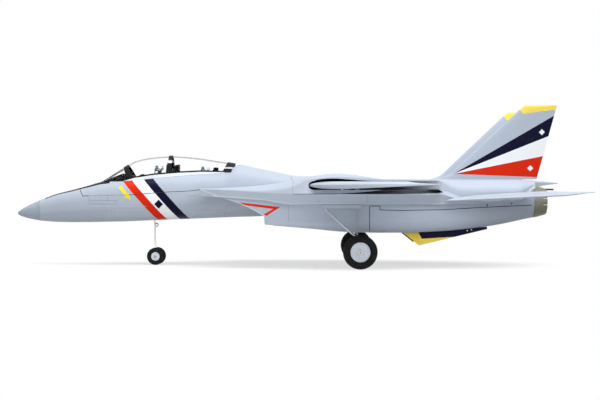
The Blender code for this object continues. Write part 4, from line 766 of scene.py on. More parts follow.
def frameFinish():
    # white rim below the sill, behind the rear bow and across the bows, black elsewhere; the rim below the
    # sill is a painted highlight and the bands across the bows are painted reflections
    paint = skinPaint("canopyFramePaint", canopy["rimHighlightWhite"])
    line = [(x, z - canopy["sillDrop"]) for x, z in canopy["sillLine"]]
    ahead, below = canopy["blackFront"]
    line[0] = (line[0][0] - ahead, line[0][1] - below)
    line[-1] = (line[-1][0] + canopy["blackRear"], line[-1][1])
    above = [paint.inside([a, b, (b[0], farOff), (a[0], farOff)]) for a, b in zip(line, line[1:])]
    foot, head = [(x + canopy["bowRear"], z) for x, z in bowEdge(canopy["bows"][-1], 1)]
    fore = paint.inside([(foot[0], 0.0), foot, head, (-farOff * 2, farOff), (-farOff * 2, 0.0)])
    # painted reflections: pale bands across the bows, left out of the black
    bands = [paint.both(paint.between(paint.x, *ends), paint.between(paint.z, *levels))
             for ends, levels in canopy["bands"]]
    black = paint.both(paint.either(above), fore, paint.calc("SUBTRACT", 1.0, paint.either(bands)))
    paint.over(palette["black"], black)
    paint.put(paint.shader.inputs["Coat Weight"], paint.both(black, canopy["coat"]))
    paint.shader.inputs["Coat Roughness"].default_value = canopy["coatRough"]
    return skinDone(paint)


def buildCanopy():
    glass = joined(canopyLoft(0.0), canopyLoft(-canopy["wall"]))
    glass = joined(glass, forwardLoft(fit))
    sheet = clearGlass("clearCanopy")
    setPiece("canopyGlass", glass, sheet, "hatch", "canopy_glass", wideAngle)
    bows = canopy["bows"]
    sill = [(x, z + canopy["sill"]) for x, z in canopy["sillLine"]]
    shape = joined(canopyLoft(fit + canopy["proud"]), canopyLoft(fit))
    shape = joined(shape, forwardLoft(fit))
    windows = []
    for fore, aft in zip(bows, bows[1:]):
        low = [point for point in sill if fore[0] + fore[2] < point[0] < aft[0] - aft[2]]
        windows.append(bowEdge(fore, 1)[::-1] + low + bowEdge(aft, -1))
    frontX, frontOff = canopy["stations"][0][0], canopy["frontOff"]
    low = [point for point in sill if point[0] < bows[0][0] - bows[0][2]]
    windows.append([(frontX - frontOff, farOff), (frontX - frontOff, low[0][1])] + low + bowEdge(bows[0], -1))
    for outline in windows:
        shape = joined(shape, sidePrism(outline, -farOff, farOff))
    setPiece("canopyFrame", shape, frameFinish(), "hatch", "canopy_frame", skinAngle)
    # slim pillars either side of the flat windscreen
    pillars = []
    reach = bows[0][1] - bows[0][2] - frontX - frontOff
    for side in signs:
        path = []
        for share in np.linspace(0, 1, canopy["pillarPoints"]):
            x = frontX + frontOff + reach * share
            y = side * canopy["pillarAcross"] * np.interp(share, (0, 1), canopy["pillarSpread"])
            path.append(Vector((x, y, canopyTopAt(x, y))))
        pillars.append(wire(path, canopy["pillarRadius"], canopy["pillarRound"]))
    setPiece("windscreenPillars", together(pillars), blackTrim, "hatch")
    half = canopy["coamingHalf"]
    coaming = sidePrism(canopy["coaming"], -half, half)
    coaming = joined(coaming, canopyLoft(-canopy["wall"] - fit), "INTERSECT")
    coaming = joined(coaming, forwardLoft(fit))
    setPiece("coaming", coaming, blackTrim, "hatch", angle=skinAngle)
    print("canopy done")


buildCanopy()


# wing gloves: x, inner edge, outer edge, then levels of ledge, lip, shoulder, inner top and top

glove = {
    "stations": (
        (-0.117, 0.0375, 0.0880, 0.0963, 0.1048, 0.1052, 0.1058, 0.1060),
        (-0.075, 0.0375, 0.0990, 0.0932, 0.1030, 0.1038, 0.1072, 0.1074),
        (-0.030, 0.0375, 0.1100, 0.0900, 0.1002, 0.1014, 0.1110, 0.1110),
        (0.0026, 0.0345, 0.1205, 0.0850, 0.0990, 0.1050, 0.1160, 0.1165),
        (0.0300, 0.0315, 0.1280, 0.0850, 0.0984, 0.1176, 0.1180, 0.1220),
        (0.0650, 0.0313, 0.1300, 0.0850, 0.0984, 0.1200, 0.1170, 0.1255),
        (0.0950, 0.0313, 0.1290, 0.0850, 0.0984, 0.1195, 0.1175, 0.1225),
        (0.1250, 0.0313, 0.1265, 0.0850, 0.0984, 0.1174, 0.1178, 0.1184),
        (0.1900, 0.0313, 0.1180, 0.0850, 0.0984, 0.1170, 0.1178, 0.1178),
        (0.2030, 0.0313, 0.1030, 0.0850, 0.0976, 0.1130, 0.1180, 0.1180),
        (0.2150, 0.0313, 0.1030, 0.0853, 0.0940, 0.1050, 0.1180, 0.1180),
        (0.2300, 0.0313, 0.1030, 0.0855, 0.0890, 0.1005, 0.1180, 0.1180),
        (0.2660, 0.0313, 0.1030, 0.0860, 0.0880, 0.1000, 0.1180, 0.1180),
        (0.3000, 0.0313, 0.1030, 0.0880, 0.0900, 0.1000, 0.1180, 0.1180),
        (0.3260, 0.0313, 0.0860, 0.1060, 0.1075, 0.1110, 0.1170, 0.1170)),
    "spacing": 0.003, "fineRings": (0.186, 0.232, 32), "decimals": 5,
    # the ledge beside the nacelle widens aft, and so does the bevel above the lip
    "ledge": (0.001, 0.011), "ledgeX": (-0.117, 0.0), "ledgeUnder": 0.0002, "ledgeShort": 0.001,
    "sideShares": (0.12, 0.88, 6), "bevel": (0.003, 0.0052), "bevelX": (0.0, 0.035),
    "bevelShare": (0.02, 1.0), "bevelMost": 0.9, "shoulder": 0.028, "shoulderSteps": 16, "topPoints": 10,
    "crownIn": (0.016, 0.02),
    # side outlines cut from the outer edge: the scoop over the wing root and the recess behind it
    "scoop": ((0.03, 0.11), (0.0306, 0.1132), (0.0335, 0.1153), (0.038, 0.117), (0.045, 0.1181),
              (0.056, 0.1187), (0.065, 0.1186), (0.08, 0.1175), (0.095, 0.1164), (0.111, 0.1155),
              (0.111, 0.11)),
    "scoopDepth": 0.018,
    "recess": ((0.062, 0.0992), (0.085, 0.1003), (0.105, 0.1019), (0.125, 0.1041), (0.13, 0.1046),
               (0.196, 0.1046), (0.203, 0.1012), (0.196, 0.0995), (0.17, 0.0988), (0.113, 0.0987),
               (0.085, 0.0988)),
    "recessDepth": 0.018,
    "pinLow": 0.0985,
    # room round the sweep link, which swings outward as the wing goes back
    "linkInner": 0.02, "linkSwing": 0.0145, "linkFore": 0.0025, "linkAft": 0.004, "linkUnder": 0.001,
    "linkHeight": 0.0055,
}

nacelle = {
    # x, middle across, half width, bottom, top, lower and upper corner radius
    "stations": (
        (-0.117, 0.0660, 0.0205, 0.0580, 0.0960, 0.0030, 0.0030),
        (-0.030, 0.0660, 0.0220, 0.0575, 0.0960, 0.0060, 0.0040),
        (0.0300, 0.0670, 0.0240, 0.0525, 0.0960, 0.0100, 0.0050),
        (0.0740, 0.0650, 0.0255, 0.0483, 0.0960, 0.0150, 0.0060),
        (0.1250, 0.0620, 0.0265, 0.0469, 0.0960, 0.0180, 0.0080),
        (0.1500, 0.0610, 0.0265, 0.0469, 0.0960, 0.0190, 0.0090),
        (0.2030, 0.0590, 0.0262, 0.0489, 0.0985, 0.0200, 0.0100),
        (0.2660, 0.0560, 0.0235, 0.0552, 0.1045, 0.0215, 0.0140),
        (0.3260, 0.0550, 0.0215, 0.0670, 0.1100, 0.0210, 0.0210)),
    # x and level along the raked lip, upright below its knee
    "lip": ((-0.0305, 0.05), (-0.0315, 0.069), (-0.0465, 0.078), (-0.069, 0.0877), (-0.094, 0.096)),
    "lipX": -0.03, "lipZ": 0.0696, "lipAft": 0.2, "skin": 0.003, "lipRound": 0.0008, "lipRings": 9,
    "lipRun": 0.01, "kneeRange": (0.1, 0.9), "innerRound": 1.5, "fanLead": 0.012, "fanRings": 4,
    "tailRings": 10,
    "fan": (0.15, 0.04, 0.0606, 0.0722, 0.0218),      # x, length, across, height and tunnel radius
    "bore": (0.055, 0.0885, 0.0197),
    "circleRound": 0.998,       # how much of a circle its four corners make
    "spacing": 0.004, "corner": 10, "flats": (0.35, 0.7, 1.0, 1.25, 1.5, 1.75),
}

wing = {
    "pivot": (0.09, 0.105), "middle": 0.11, "thick": 0.01, "tipThick": 0.0032,
    "halfSpan": 0.387, "breakY": 0.127, "lean": 20.0, "tipChord": 0.05, "aftRadius": 0.068,
    "innerY": 0.075, "sweep": 48.0, "gap": 0.001, "pinRadius": 0.003, "pinEdge": 0.0004,
    "tipRound": 0.01, "edgeHalf": 0.0004, "points": 33, "flat": 1.0, "rootRings": 17, "spanRings": 26,
    "tipShares": (0.3, 0.55, 0.75, 0.9, 0.97, 1.0), "tipFore": 0.16, "tipShort": 0.22, "tipThin": 0.92,
    "linkPin": (0.075383, 0.098492, 0.0011, 0.1064),
    # the slot that the root turns in
    "roofGap": 0.0004, "frontGap": 0.0019, "frontRound": 0.007, "slotOut": 0.008, "slotEase": 0.5,
    "slotSteps": 96, "slotRings": 16,
}


def roundedRing(x, middleY, halfWidth, low, high, roundLow, roundHigh, place=None):
    ring = []
    corners = ((1, low, roundLow, -90), (1, high, roundHigh, 0), (-1, high, roundHigh, 90),
               (-1, low, roundLow, 180))
    flat = (low + roundLow, high - roundHigh)
    knee = float(np.clip((nacelle["lipZ"] - flat[0]) / (flat[1] - flat[0]), *nacelle["kneeRange"]))
    for side, level, radius, start in corners:
        centreY = middleY + side * (halfWidth - radius)
        centreZ = level + radius if level == low else level - radius
        angles = [math.radians(start + 90 * k / nacelle["corner"]) for k in range(nacelle["corner"] + 1)]
        run = [(centreY + radius * math.cos(a), centreZ + radius * math.sin(a)) for a in angles]
        if start in (-90, 90):
            # points up the flat side, one of them at the lip's knee
            shares = [knee * f if f <= 1 else partWay(knee, 1, f - 1) for f in nacelle["flats"]]
            ups = [(middleY + side * halfWidth, partWay(*flat, f)) for f in shares]
            run += ups if start == -90 else ups[::-1]
        ring += [Vector((place(x, z) if place else x, y, z)) for y, z in run]
    return ring


def lipPlace(x, z):
    # the ring leans from the raked lip to upright over the first stretch
    xs, levels = zip(*nacelle["lip"])
    lip = float(np.interp(z, levels, xs))
    settle = nacelle["lipX"] + nacelle["lipAft"] * (nacelle["stations"][0][4] - z)
    return partWay(lip, settle, x)


def nacelleRings(inset):
    table = nacelle["stations"]
    first, second = np.array(table[0]), np.array(table[1])

    def ringOf(x, row, place=None):
        middle, half, low, high, *rounds = row[1:]
        rounds = [max(r, nacelle["innerRound"] * inset) - inset for r in rounds]
        return roundedRing(x, middle, half - inset, low + inset, high - inset, *rounds, place=place)

    rings = [ringOf(share, partWay(first, second, share), lipPlace)
             for share in np.linspace(0, 1, nacelle["lipRings"])]
    last = nacelle["fan"][0] - nacelle["fanLead"] if inset else table[-1][0]
    xs = evenly(table[1][0] + nacelle["lipRun"], last, nacelle["spacing"])
    return rings + [ringOf(row[0], row) for row in smoothRows(table[1:], xs)]


def circleRing(x, middleY, middleZ, radius):
    corner = radius * nacelle["circleRound"]
    return roundedRing(x, middleY, radius, middleZ - radius, middleZ + radius, corner, corner)


def buildNacelle(name, side):
    outer = nacelleRings(0.0)
    inner = nacelleRings(nacelle["skin"])
    fanX, fanLength, fanY, fanZ, tunnel = nacelle["fan"]
    boreY, boreZ, boreR = nacelle["bore"]
    fanXs = np.linspace(fanX, fanX + fanLength, nacelle["fanRings"])
    inner += [circleRing(x, fanY, fanZ, tunnel) for x in fanXs]
    startX, endX = fanX + fanLength, nacelle["stations"][-1][0]
    for k in range(nacelle["tailRings"]):
        share = (k + 1) / nacelle["tailRings"]
        ease = share * share * (3 - 2 * share)
        inner.append(circleRing(partWay(startX, endX, share), partWay(fanY, boreY, ease),
                                partWay(fanZ, boreZ, ease), partWay(tunnel, boreR, ease)))
    lip = [(a + b) / 2 - Vector((nacelle["lipRound"], 0, 0)) for a, b in zip(outer[0], inner[0])]
    shape = loft(mirrored(outer + inner[::-1] + [lip], side), closed=True)
    # paint outside, black in the duct, and a pale painted highlight round the lip
    duct, around = len(outer), len(outer[0])
    for number, face in enumerate(shape.faces):
        band = number // around
        face.material_index = 2 if band >= duct + len(inner) - 1 else 1 if band >= duct else 0
    finishes = [nacellePaint, ductBlack, lipHighlightPaint]
    foamPiece("nacelleShell_" + name, shape, finishes, "nacelle_" + name)


def flankAt(x):
    row = smoothRows(nacelle["stations"], [x])[0]
    return row[1] + row[2] + fit, row[4] + fit


def gloveRing(x):
    x, inner, outer, ledge, lip, shoulder, innerTop, top = smoothRows(glove["stations"], [x])[0]
    flank, roof = flankAt(x)
    ledge = min(ledge, roof - glove["ledgeUnder"])
    ledgeEnd = min(flank + np.interp(x, glove["ledgeX"], glove["ledge"]), outer - glove["ledgeShort"])
    points = [(inner, roof), (flank, roof), (flank, ledge), (ledgeEnd, ledge)]
    for share in np.linspace(*glove["sideShares"]):
        points.append((partWay(ledgeEnd, outer, share), partWay(ledge, lip, share)))
    inward, upward = glove["bevel"]
    inward *= np.interp(x, glove["bevelX"], glove["bevelShare"])
    upward = min(upward, glove["bevelMost"] * (shoulder - lip))
    edge = outer - inward
    points += [(outer, lip), (outer - inward / 2, lip + upward / 2), (edge, lip + upward)]
    for k in range(glove["shoulderSteps"] + 1):
        angle = 0.5 * math.pi * k / glove["shoulderSteps"]
        points.append((edge - glove["shoulder"] * (1 - math.cos(angle)),
                       partWay(shoulder, top, math.sin(angle))))
    last = points[-1][0]
    ys = np.linspace(last, inner, glove["topPoints"])[1:]
    rise, crown = glove["crownIn"]
    knots = ((inner, innerTop), (inner + rise, (innerTop + top) / 2), (max(last, inner + crown), top))
    points += list(zip(ys, smoothAt(*zip(*knots), ys)))
    return [Vector((x, y, z)) for y, z in points]


def wingLines():
    lean = math.radians(wing["lean"])
    px, py = wing["pivot"]
    rootRadius = (wing["breakY"] - py) / math.sin(lean)
    breakX = px - rootRadius * math.cos(lean)
    tipX = breakX + (wing["halfSpan"] - wing["breakY"]) * math.tan(lean)
    aftX = px + math.sqrt(wing["aftRadius"] ** 2 - (wing["breakY"] - py) ** 2)
    return rootRadius, breakX, tipX, aftX


def slotOutline(inset):
    # plan of the slot: round the root ahead, along the trailing edge of the swept wing behind
    rootRadius, _, tipX, aftX = wingLines()
    px, py = wing["pivot"]
    turn = math.radians(wing["sweep"])

    def swept(dx, dy):
        return dx * math.cos(turn) + dy * math.sin(turn), dy * math.cos(turn) - dx * math.sin(turn)

    aftR, foreR = wing["aftRadius"] + wing["gap"], rootRadius + wing["frontGap"]
    corner = swept(aftX - px, wing["breakY"] - py)
    tip = swept(tipX + wing["tipChord"] - px, wing["halfSpan"] - py)
    run = Vector((tip[0] - corner[0], tip[1] - corner[1])).normalized()
    start = math.pi - math.asin((wing["breakY"] + wing["slotOut"] - py) / foreR)
    stop = 2 * math.pi + math.atan2(corner[1], corner[0])
    outline = []
    for k in range(wing["slotSteps"] + 1):
        angle = start + (stop - start) * k / wing["slotSteps"]
        ahead = max(0.0, -math.cos(angle)) ** wing["slotEase"]
        radius = partWay(aftR, foreR - inset, ahead)
        outline.append((px + radius * math.cos(angle), py + radius * math.sin(angle)))
    last = outline[-1]
    reach = (farOff - last[1]) / run.y
    return outline + [(last[0] + run.x * reach, farOff), (outline[0][0], farOff)]


def slotShape(side):
    # the slot's front is round, as the wing's leading edge in it, and its rear is square
    floor = wing["middle"] - wing["thick"] / 2 - wing["gap"]
    roof = wing["middle"] + wing["thick"] / 2 + wing["roofGap"]
    rings = []
    for k in range(wing["slotRings"] + 1):
        angle = math.pi * (k / wing["slotRings"] - 0.5)
        z = (floor + roof) / 2 + (roof - floor) / 2 * math.sin(angle)
        inset = wing["frontRound"] * (1 - math.cos(angle))
        rings.append([Vector((x, side * y, z)) for x, y in slotOutline(inset)])
    return loft(rings)


def buildGlove(name, side):
    table = glove["stations"]
    xs = [evenly(table[0][0], table[-1][0], glove["spacing"]), np.linspace(*glove["fineRings"])]
    xs = sorted(set(np.round(np.concatenate(xs), glove["decimals"])))
    shape = loft(mirrored([gloveRing(x) for x in xs], side))
    shape = joined(shape, slotShape(side), mark=1)
    px, py = wing["pivot"]
    pin = rod((px, side * py, glove["pinLow"]), (px, side * py, farOff), wing["pinRadius"] + fit)
    shape = joined(shape, pin, mark=1)
    for key in ("scoop", "recess"):
        edge = [smoothRows(table, [x])[0][2] - glove[key + "Depth"] for x, z in glove[key]]
        rings = [[Vector((x, side * y, z)) for (x, z), y in zip(glove[key], ys)]
                 for ys in (edge, [farOff] * len(edge))]
        shape = joined(shape, loft(rings), mark=1)
    low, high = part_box("stab_servo_" + name)
    grow = Vector((fit, fit, fit))
    shape = joined(shape, block(low - grow, high + grow), mark=1)
    low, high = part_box("sweep_link_" + name)
    outer = max(abs(low.y), abs(high.y)) + glove["linkSwing"]
    start, end = sorted((side * glove["linkInner"], side * outer))
    pocket = block((low.x - glove["linkFore"], start, low.z - glove["linkUnder"]),
                   (high.x + glove["linkAft"], end, low.z + glove["linkHeight"]))
    shape = joined(shape, pocket, mark=1)
    foamPiece("gloveShell_" + name, shape, [glovePaint, slotShadePaint], "glove_" + name, angle=fineAngle)


def sidePanels(name, runs, width, plan=(), above=0.0):
    # seams drawn on the side, and those drawn in plan on what is above a level
    paint = skinPaint(name)
    masks = [paint.stroke(run, width) for run in runs]
    if plan:
        across = paint.calc("ABSOLUTE", paint.y)
        high = paint.calc("GREATER_THAN", paint.z, above)
        masks += [paint.both(high, paint.stroke(run, width, across)) for run in plan]
    return paint, paint.either(masks)


panelWidth = 0.0006

nacelleMarks = {
    "seams": (((0.0000, 0.062), (0.0000, 0.084)),), "seamStrength": 0.45,
    "outerY": 0.07,       # the marks are on the outer side only
    "joint": ((0.1072, 0.05), (0.1072, 0.0827), (0.1208, 0.0827), (0.1208, 0.0777), (0.1473, 0.0769),
              (0.2042, 0.0779), (0.262, 0.0812), (0.3226, 0.0838)),
    "jointWidth": 0.001,
    "vents": (((0.263, 0.0817), (0.263, 0.0863)), ((0.2956, 0.0846), (0.2956, 0.0885))),
    "ventWidth": 0.0012,
    "chevron": (((-0.074, 0.0885), (-0.0107, 0.0814), (-0.0201, 0.0788), (-0.064, 0.0847)),
                ((-0.0107, 0.0814), (-0.0293, 0.0696), (-0.033, 0.0715), (-0.0201, 0.0788))),
    # a painted highlight along the raked lip: its width and strength
    "lipHighlightWidth": 0.0016, "lipHighlightStrength": 0.7,
}


def chevronPaint():
    paint, seams = sidePanels("nacellePaint", nacelleMarks["seams"], panelWidth)
    outward = paint.calc("GREATER_THAN", paint.calc("ABSOLUTE", paint.y), nacelleMarks["outerY"])
    chevron = paint.either([paint.inside(arm) for arm in nacelleMarks["chevron"]])
    paint.over(palette["red"], paint.both(chevron, outward))
    # painted highlight: a pale stroke along the raked lip, on the outer side
    width = nacelleMarks["lipHighlightWidth"]
    pale = paint.stroke([(x + width / 2, z) for x, z in nacelle["lip"][1:]], width)
    paint.over(palette["pale"], paint.both(pale, outward, nacelleMarks["lipHighlightStrength"]))
    dark = [paint.stroke(vent, nacelleMarks["ventWidth"]) for vent in nacelleMarks["vents"]]
    dark.append(paint.stroke(nacelleMarks["joint"], nacelleMarks["jointWidth"]))
    paint.over(palette["mark"], paint.both(paint.either(dark), outward))
    return skinDone(paint, seams, nacelleMarks["seamStrength"])


gloveMarks = {
    "seams": (((0.0066, 0.0985), (0.0066, 0.116)), ((0.04, 0.0864), (0.04, 0.0911)),
              ((0.103, 0.085), (0.103, 0.103)), ((0.25, 0.088), (0.25, 0.093))),
    "top": (((0.135, 0.032), (0.135, 0.125)), ((0.135, 0.08), (0.2, 0.08)),
            ((0.0066, 0.036), (0.0066, 0.12))),
    "topLevel": 0.11, "seamStrength": 0.4,
    # painted highlights: pale lines up the rake and along the lower edge, each with width and strength
    "pale": ((((-0.1165, 0.1046), (-0.0934, 0.096)), 0.0016, 0.6),
             (((-0.1, 0.096), (-0.06, 0.0935), (-0.03, 0.0907), (0.0026, 0.0858), (0.206, 0.0858)),
              0.0018, 0.5)),
    # a painted shadow line along the slot's lower lip
    "lipShadowLine": ((0.007, 0.0986), (0.064, 0.0989)), "lipShadowWidth": 0.0007,
    # slot lining, with painted light and shade: pale to lift the shade inside, darker on its floor, black
    # towards the front
    "floorShade": (0.106, 0.103, 0.8), "frontShade": (0.11, 0.085, 1.0),
}


def seamedGlove():
    paint, seams = sidePanels("glovePaint", gloveMarks["seams"], panelWidth, gloveMarks["top"],
                              gloveMarks["topLevel"])
    # painted highlights along the rake and the lower edge
    for run, width, strength in gloveMarks["pale"]:
        paint.over(palette["pale"], paint.both(paint.stroke(run, width), strength))
    # painted shadow: a dark line along the slot's lower lip
    paint.over(palette["mark"], paint.stroke(gloveMarks["lipShadowLine"], gloveMarks["lipShadowWidth"]))
    return skinDone(paint, seams, gloveMarks["seamStrength"])


def paintedSlotShade():
    # painted light: the lining of the slot and the recesses is pale, to lift their shade
    lining = skinPaint("paintedSlotShade", palette["pale"])
    # painted shade: darker down the floor of the slot and black towards its front
    lining.tint(palette["mark"], lining.z, *gloveMarks["floorShade"])
    lining.tint(palette["black"], lining.x, *gloveMarks["frontShade"])
    return skinDone(lining)


nacellePaint = chevronPaint()
# painted highlight: the rounded lip is pale
lipHighlightPaint = skinDone(skinPaint("lipHighlightPaint", palette["pale"]))
ductBlack = finishFrom("ductBlack", blackPlastic, colour=colourOf(52, 54, 58)).done()
slotShadePaint = paintedSlotShade()
glovePaint = seamedGlove()
for sideName, sideSign in sides:
    buildNacelle(sideName, sideSign)
    buildGlove(sideName, sideSign)
print("gloves and nacelles done")


# spine cover between the gloves

spine = {
    "top": ((0.0026, 0.1242), (0.019, 0.1228), (0.06, 0.1215), (0.125, 0.1184), (0.19, 0.1178),
            (0.3, 0.1176), (0.3395, 0.1165), (0.3665, 0.1138)),
    "half": 0.031, "split": 0.105, "nozzleX": 0.326, "tailHalf": 0.024, "tailEdge": 0.0016,
    "spacing": 0.004, "points": 96, "lowRound": 2.0,
    "topRound": (3.2, 9.2), "squareIn": 0.12,       # the top squares up over this length
    "wall": 0.003, "armRoom": (0.002, 0.001),       # room round the sweep arms, along and above
    "plan": (((0.05, 0.0), (0.05, 0.031)), ((0.19, 0.0), (0.19, 0.031)),
             ((0.05, 0.018), (0.19, 0.018))),
    "seams": (((0.3, 0.1), (0.3, 0.119)),), "seamStrength": 0.45,
    "hook": (0.365, 0.1046, 0.0012), "hookIn": 0.004, "hookEdge": 0.0003,
}


def buildSpine():
    paint, seams = sidePanels("spinePaint", spine["seams"], panelWidth, spine["plan"])
    cover = skinDone(paint, seams, spine["seamStrength"])
    knotsX, knotsZ = zip(*spine["top"])
    rings = []
    for x in evenly(knotsX[0] + fit, knotsX[-1], spine["spacing"]):
        top = float(smoothAt(knotsX, knotsZ, [x])[0])
        tail = max(0.0, (x - spine["nozzleX"]) / (knotsX[-1] - spine["nozzleX"]))
        half = partWay(spine["half"], spine["tailHalf"], tail)
        low = spine["split"] + fit
        low += (top - spine["tailEdge"] - low) * tail
        square = float(np.interp(x, (knotsX[0], knotsX[0] + spine["squareIn"]), spine["topRound"]))
        rings.append(ovalRing(x, half, low, low, top, spine["lowRound"], square, spine["points"]))
    low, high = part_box("sweep_arm_left")
    half = spine["half"] - spine["wall"]
    along, above = spine["armRoom"]
    room = block((low.x - along, -half, 0.0), (high.x + along, half, high.z + above))
    shape = joined(loft(rings), room, mark=1)
    foamPiece("spineShell", shape, [cover, slotShadePaint], "spine_cover")
    belly = skinDone(skinPaint("bellyPaint"))
    foamPiece("spineTubShell", solidCopy("spine_tub"), belly, "spine_tub")
    hookX, hookZ, hookR = spine["hook"]
    hook = rod((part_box("spine_tub")[1].x - spine["hookIn"], 0, hookZ), (hookX, 0, hookZ), hookR)
    setPiece("tailHook", softEdges(hook, spine["hookEdge"]), hookGrey, "airframe")
    print("spine done")


buildSpine()


# wings, tailplanes and fins

# powers of the share along the chord and their weights in the half thickness of a common section
sectionTerms = ((0.5, 1.4845), (1, -0.63), (2, -1.758), (3, 1.4215), (4, -0.468))
edgeRise = 12.0     # how soon the least thickness is reached behind the nose
flatFrom = 0.3
mostTrim = 0.9


def sectionRing(foreX, chord, thick, points, edge, flat=0.0):
    # flat lifts the rear of the section until its upper side runs level
    outline = []
    for k in range(points):
        s = 0.5 - 0.5 * math.cos(math.pi * k / (points - 1))
        t = thick * sum(weight * s ** power for power, weight in sectionTerms)
        t = max(t, edge * min(1.0, edgeRise * s))
        lift = flat * (thick / 2 - t) if s > flatFrom else 0.0
        outline.append((foreX + s * chord, t, lift))
    return [(x, lift + t) for x, t, lift in reversed(outline)] + [(x, lift - t) for x, t, lift in outline[1:]]


def spanShares(startRound, count, rounded, first=0.0):
    # shares of a span, even up to where its tip starts to round off
    return [*np.linspace(first, startRound, count), *(partWay(startRound, 1, s) for s in rounded)]


def tipTrim(share, startRound):
    # how far a rounded tip draws in
    late = max(0.0, (share - startRound) / (1 - startRound))
    return mostTrim * (1 - math.sqrt(max(0.0, 1 - late * late)))


wingPlan = (((0.118, 0.15), (0.152, 0.36)), ((0.118, 0.15), (0.15, 0.138)),
            ((0.152, 0.36), (0.17, 0.356)), ((0.04, 0.14), (0.113, 0.345)),
            ((0.13, 0.255), (0.162, 0.245)), ((0.093, 0.16), (0.129, 0.33)))


def buildWing(name, side, finish):
    rootRadius, breakX, tipX, aftX = wingLines()
    px, py = wing["pivot"]
    rings = []
    for y in np.linspace(wing["innerY"], wing["breakY"], wing["rootRings"])[:-1]:
        fore = px - math.sqrt(rootRadius ** 2 - (y - py) ** 2)
        aft = px + math.sqrt(wing["aftRadius"] ** 2 - (y - py) ** 2)
        rings.append((y, fore, aft - fore, wing["thick"], 1.0, wing["flat"]))
    span = wing["halfSpan"] - wing["breakY"]
    startRound = 1 - wing["tipRound"] / span
    for share in spanShares(startRound, wing["spanRings"], wing["tipShares"]):
        fore = partWay(breakX, tipX, share)
        chord = partWay(aftX, tipX + wing["tipChord"], share) - fore
        trim = tipTrim(share, startRound)
        thick = partWay(wing["thick"], wing["tipThick"], share)
        rings.append((wing["breakY"] + span * share, fore + chord * wing["tipFore"] * trim,
                      chord * (1 - wing["tipShort"] * trim), thick, 1 - wing["tipThin"] * trim,
                      wing["flat"] * (1 - share)))
    loops = []
    for y, fore, chord, thick, thin, flat in rings:
        ring = sectionRing(fore, chord, thick, wing["points"], wing["edgeHalf"], flat)
        loops.append([Vector((x, y, wing["middle"] + t * thin)) for x, t in ring])
    shape = loft(mirrored(loops, side))
    pinX, pinY, pinR, pinTop = wing["linkPin"]
    for x, y, top, radius in ((px, py, farOff, wing["pinRadius"]), (pinX, pinY, pinTop + fit, pinR)):
        shape = joined(shape, rod((x, side * y, 0.0), (x, side * y, top), radius + running))
    foamPiece("wingPanel_" + name, shape, finish, "wing_" + name, "wing_" + name)
    pivot = "wing_pivot_" + name
    pin = softEdges(solidCopy(pivot), wing["pinEdge"])
    setPiece("wingPivot_" + name, pin, brightSteel, "airframe", pivot)


stab = {
    "shelf": 0.103, "halfSpan": 0.198, "root": (0.207, 0.33), "tip": (0.34, 0.38),
    "axis": (0.285, 0.0975), "slope": 5.5, "droop": 3.3, "thick": 0.0065, "tipThick": 0.003,
    "shaftRadius": 0.002, "shaftIn": 0.02, "wall": 0.0036, "tipRound": 0.006, "points": 29,
    "spanRings": 18, "tipShares": (0.3, 0.6, 0.8, 0.93, 1.0), "tipFore": 0.15, "tipThin": 0.9,
}
stabPlan = (((0.235, 0.118), (0.33, 0.175)), ((0.305, 0.12), (0.35, 0.185)),
            ((0.26, 0.11), (0.325, 0.11)))


def panelAt(panel, share, startRound):
    # front, rear and thickness of a tailplane or fin at a share of its span
    fore, aft = (partWay(root, tip, share) for root, tip in zip(panel["root"], panel["tip"]))
    trim = tipTrim(share, startRound)
    thick = partWay(panel["thick"], panel["tipThick"], share) * (1 - panel["tipThin"] * trim)
    return fore + (aft - fore) * panel["tipFore"] * trim, aft, thick


def buildStab(name, side, finish):
    rootY = stab["shelf"] + running
    span = stab["halfSpan"] - rootY
    startRound = 1 - stab["tipRound"] / span
    tilt, droop = (math.tan(math.radians(stab[key])) for key in ("slope", "droop"))
    axisX, axisZ = stab["axis"]
    loops = []
    for share in spanShares(startRound, stab["spanRings"], stab["tipShares"]):
        fore, aft, thick = panelAt(stab, share, startRound)
        ring = sectionRing(fore, aft - fore, thick, stab["points"], wing["edgeHalf"])
        level = axisZ - span * share * droop
        loops.append([Vector((x, rootY + span * share, level + (x - axisX) * tilt + t)) for x, t in ring])
    inner, outer = side * (stab["shelf"] - stab["wall"]), side * (rootY + stab["shaftIn"])
    shaft = rod((axisX, inner, axisZ), (axisX, outer, axisZ), stab["shaftRadius"])
    shape = joined(loft(mirrored(loops, side)), shaft, "UNION", 1)
    node = "stab_" + name
    foamPiece("tailplane_" + name, shape, [finish, brightSteel], node, node)


fin = {
    "base": 0.1183, "tipZ": 0.216, "rootY": 0.062, "tipY": 0.076, "root": (0.208, 0.331),
    "tip": (0.312, 0.3556), "filletX": 0.195, "filletRise": 0.0085, "filletRings": 8, "thick": 0.005,
    "tipThick": 0.0026, "points": 29, "spanRings": 24, "tipRound": 0.003,
    "tipShares": (0.35, 0.65, 0.85, 1.0), "tipFore": 0.06, "tipThin": 0.85,
    # bands that fan out from a point: colour and the angles they lie between
    "apex": (0.22, 0.1254),
    "bands": (("red", -2.2, 11.29), ("white", 11.29, 21.77), ("navy", 21.77, 30.28)),
    "far": 0.2,
    "cap": ((0.311, 0.205), (0.357, 0.211), (0.357, 0.222), (0.3, 0.222), (0.3065, 0.2115)),
    "gems": ((0.3365, 0.1808, 0.004), (0.3222, 0.133, 0.004)),
}


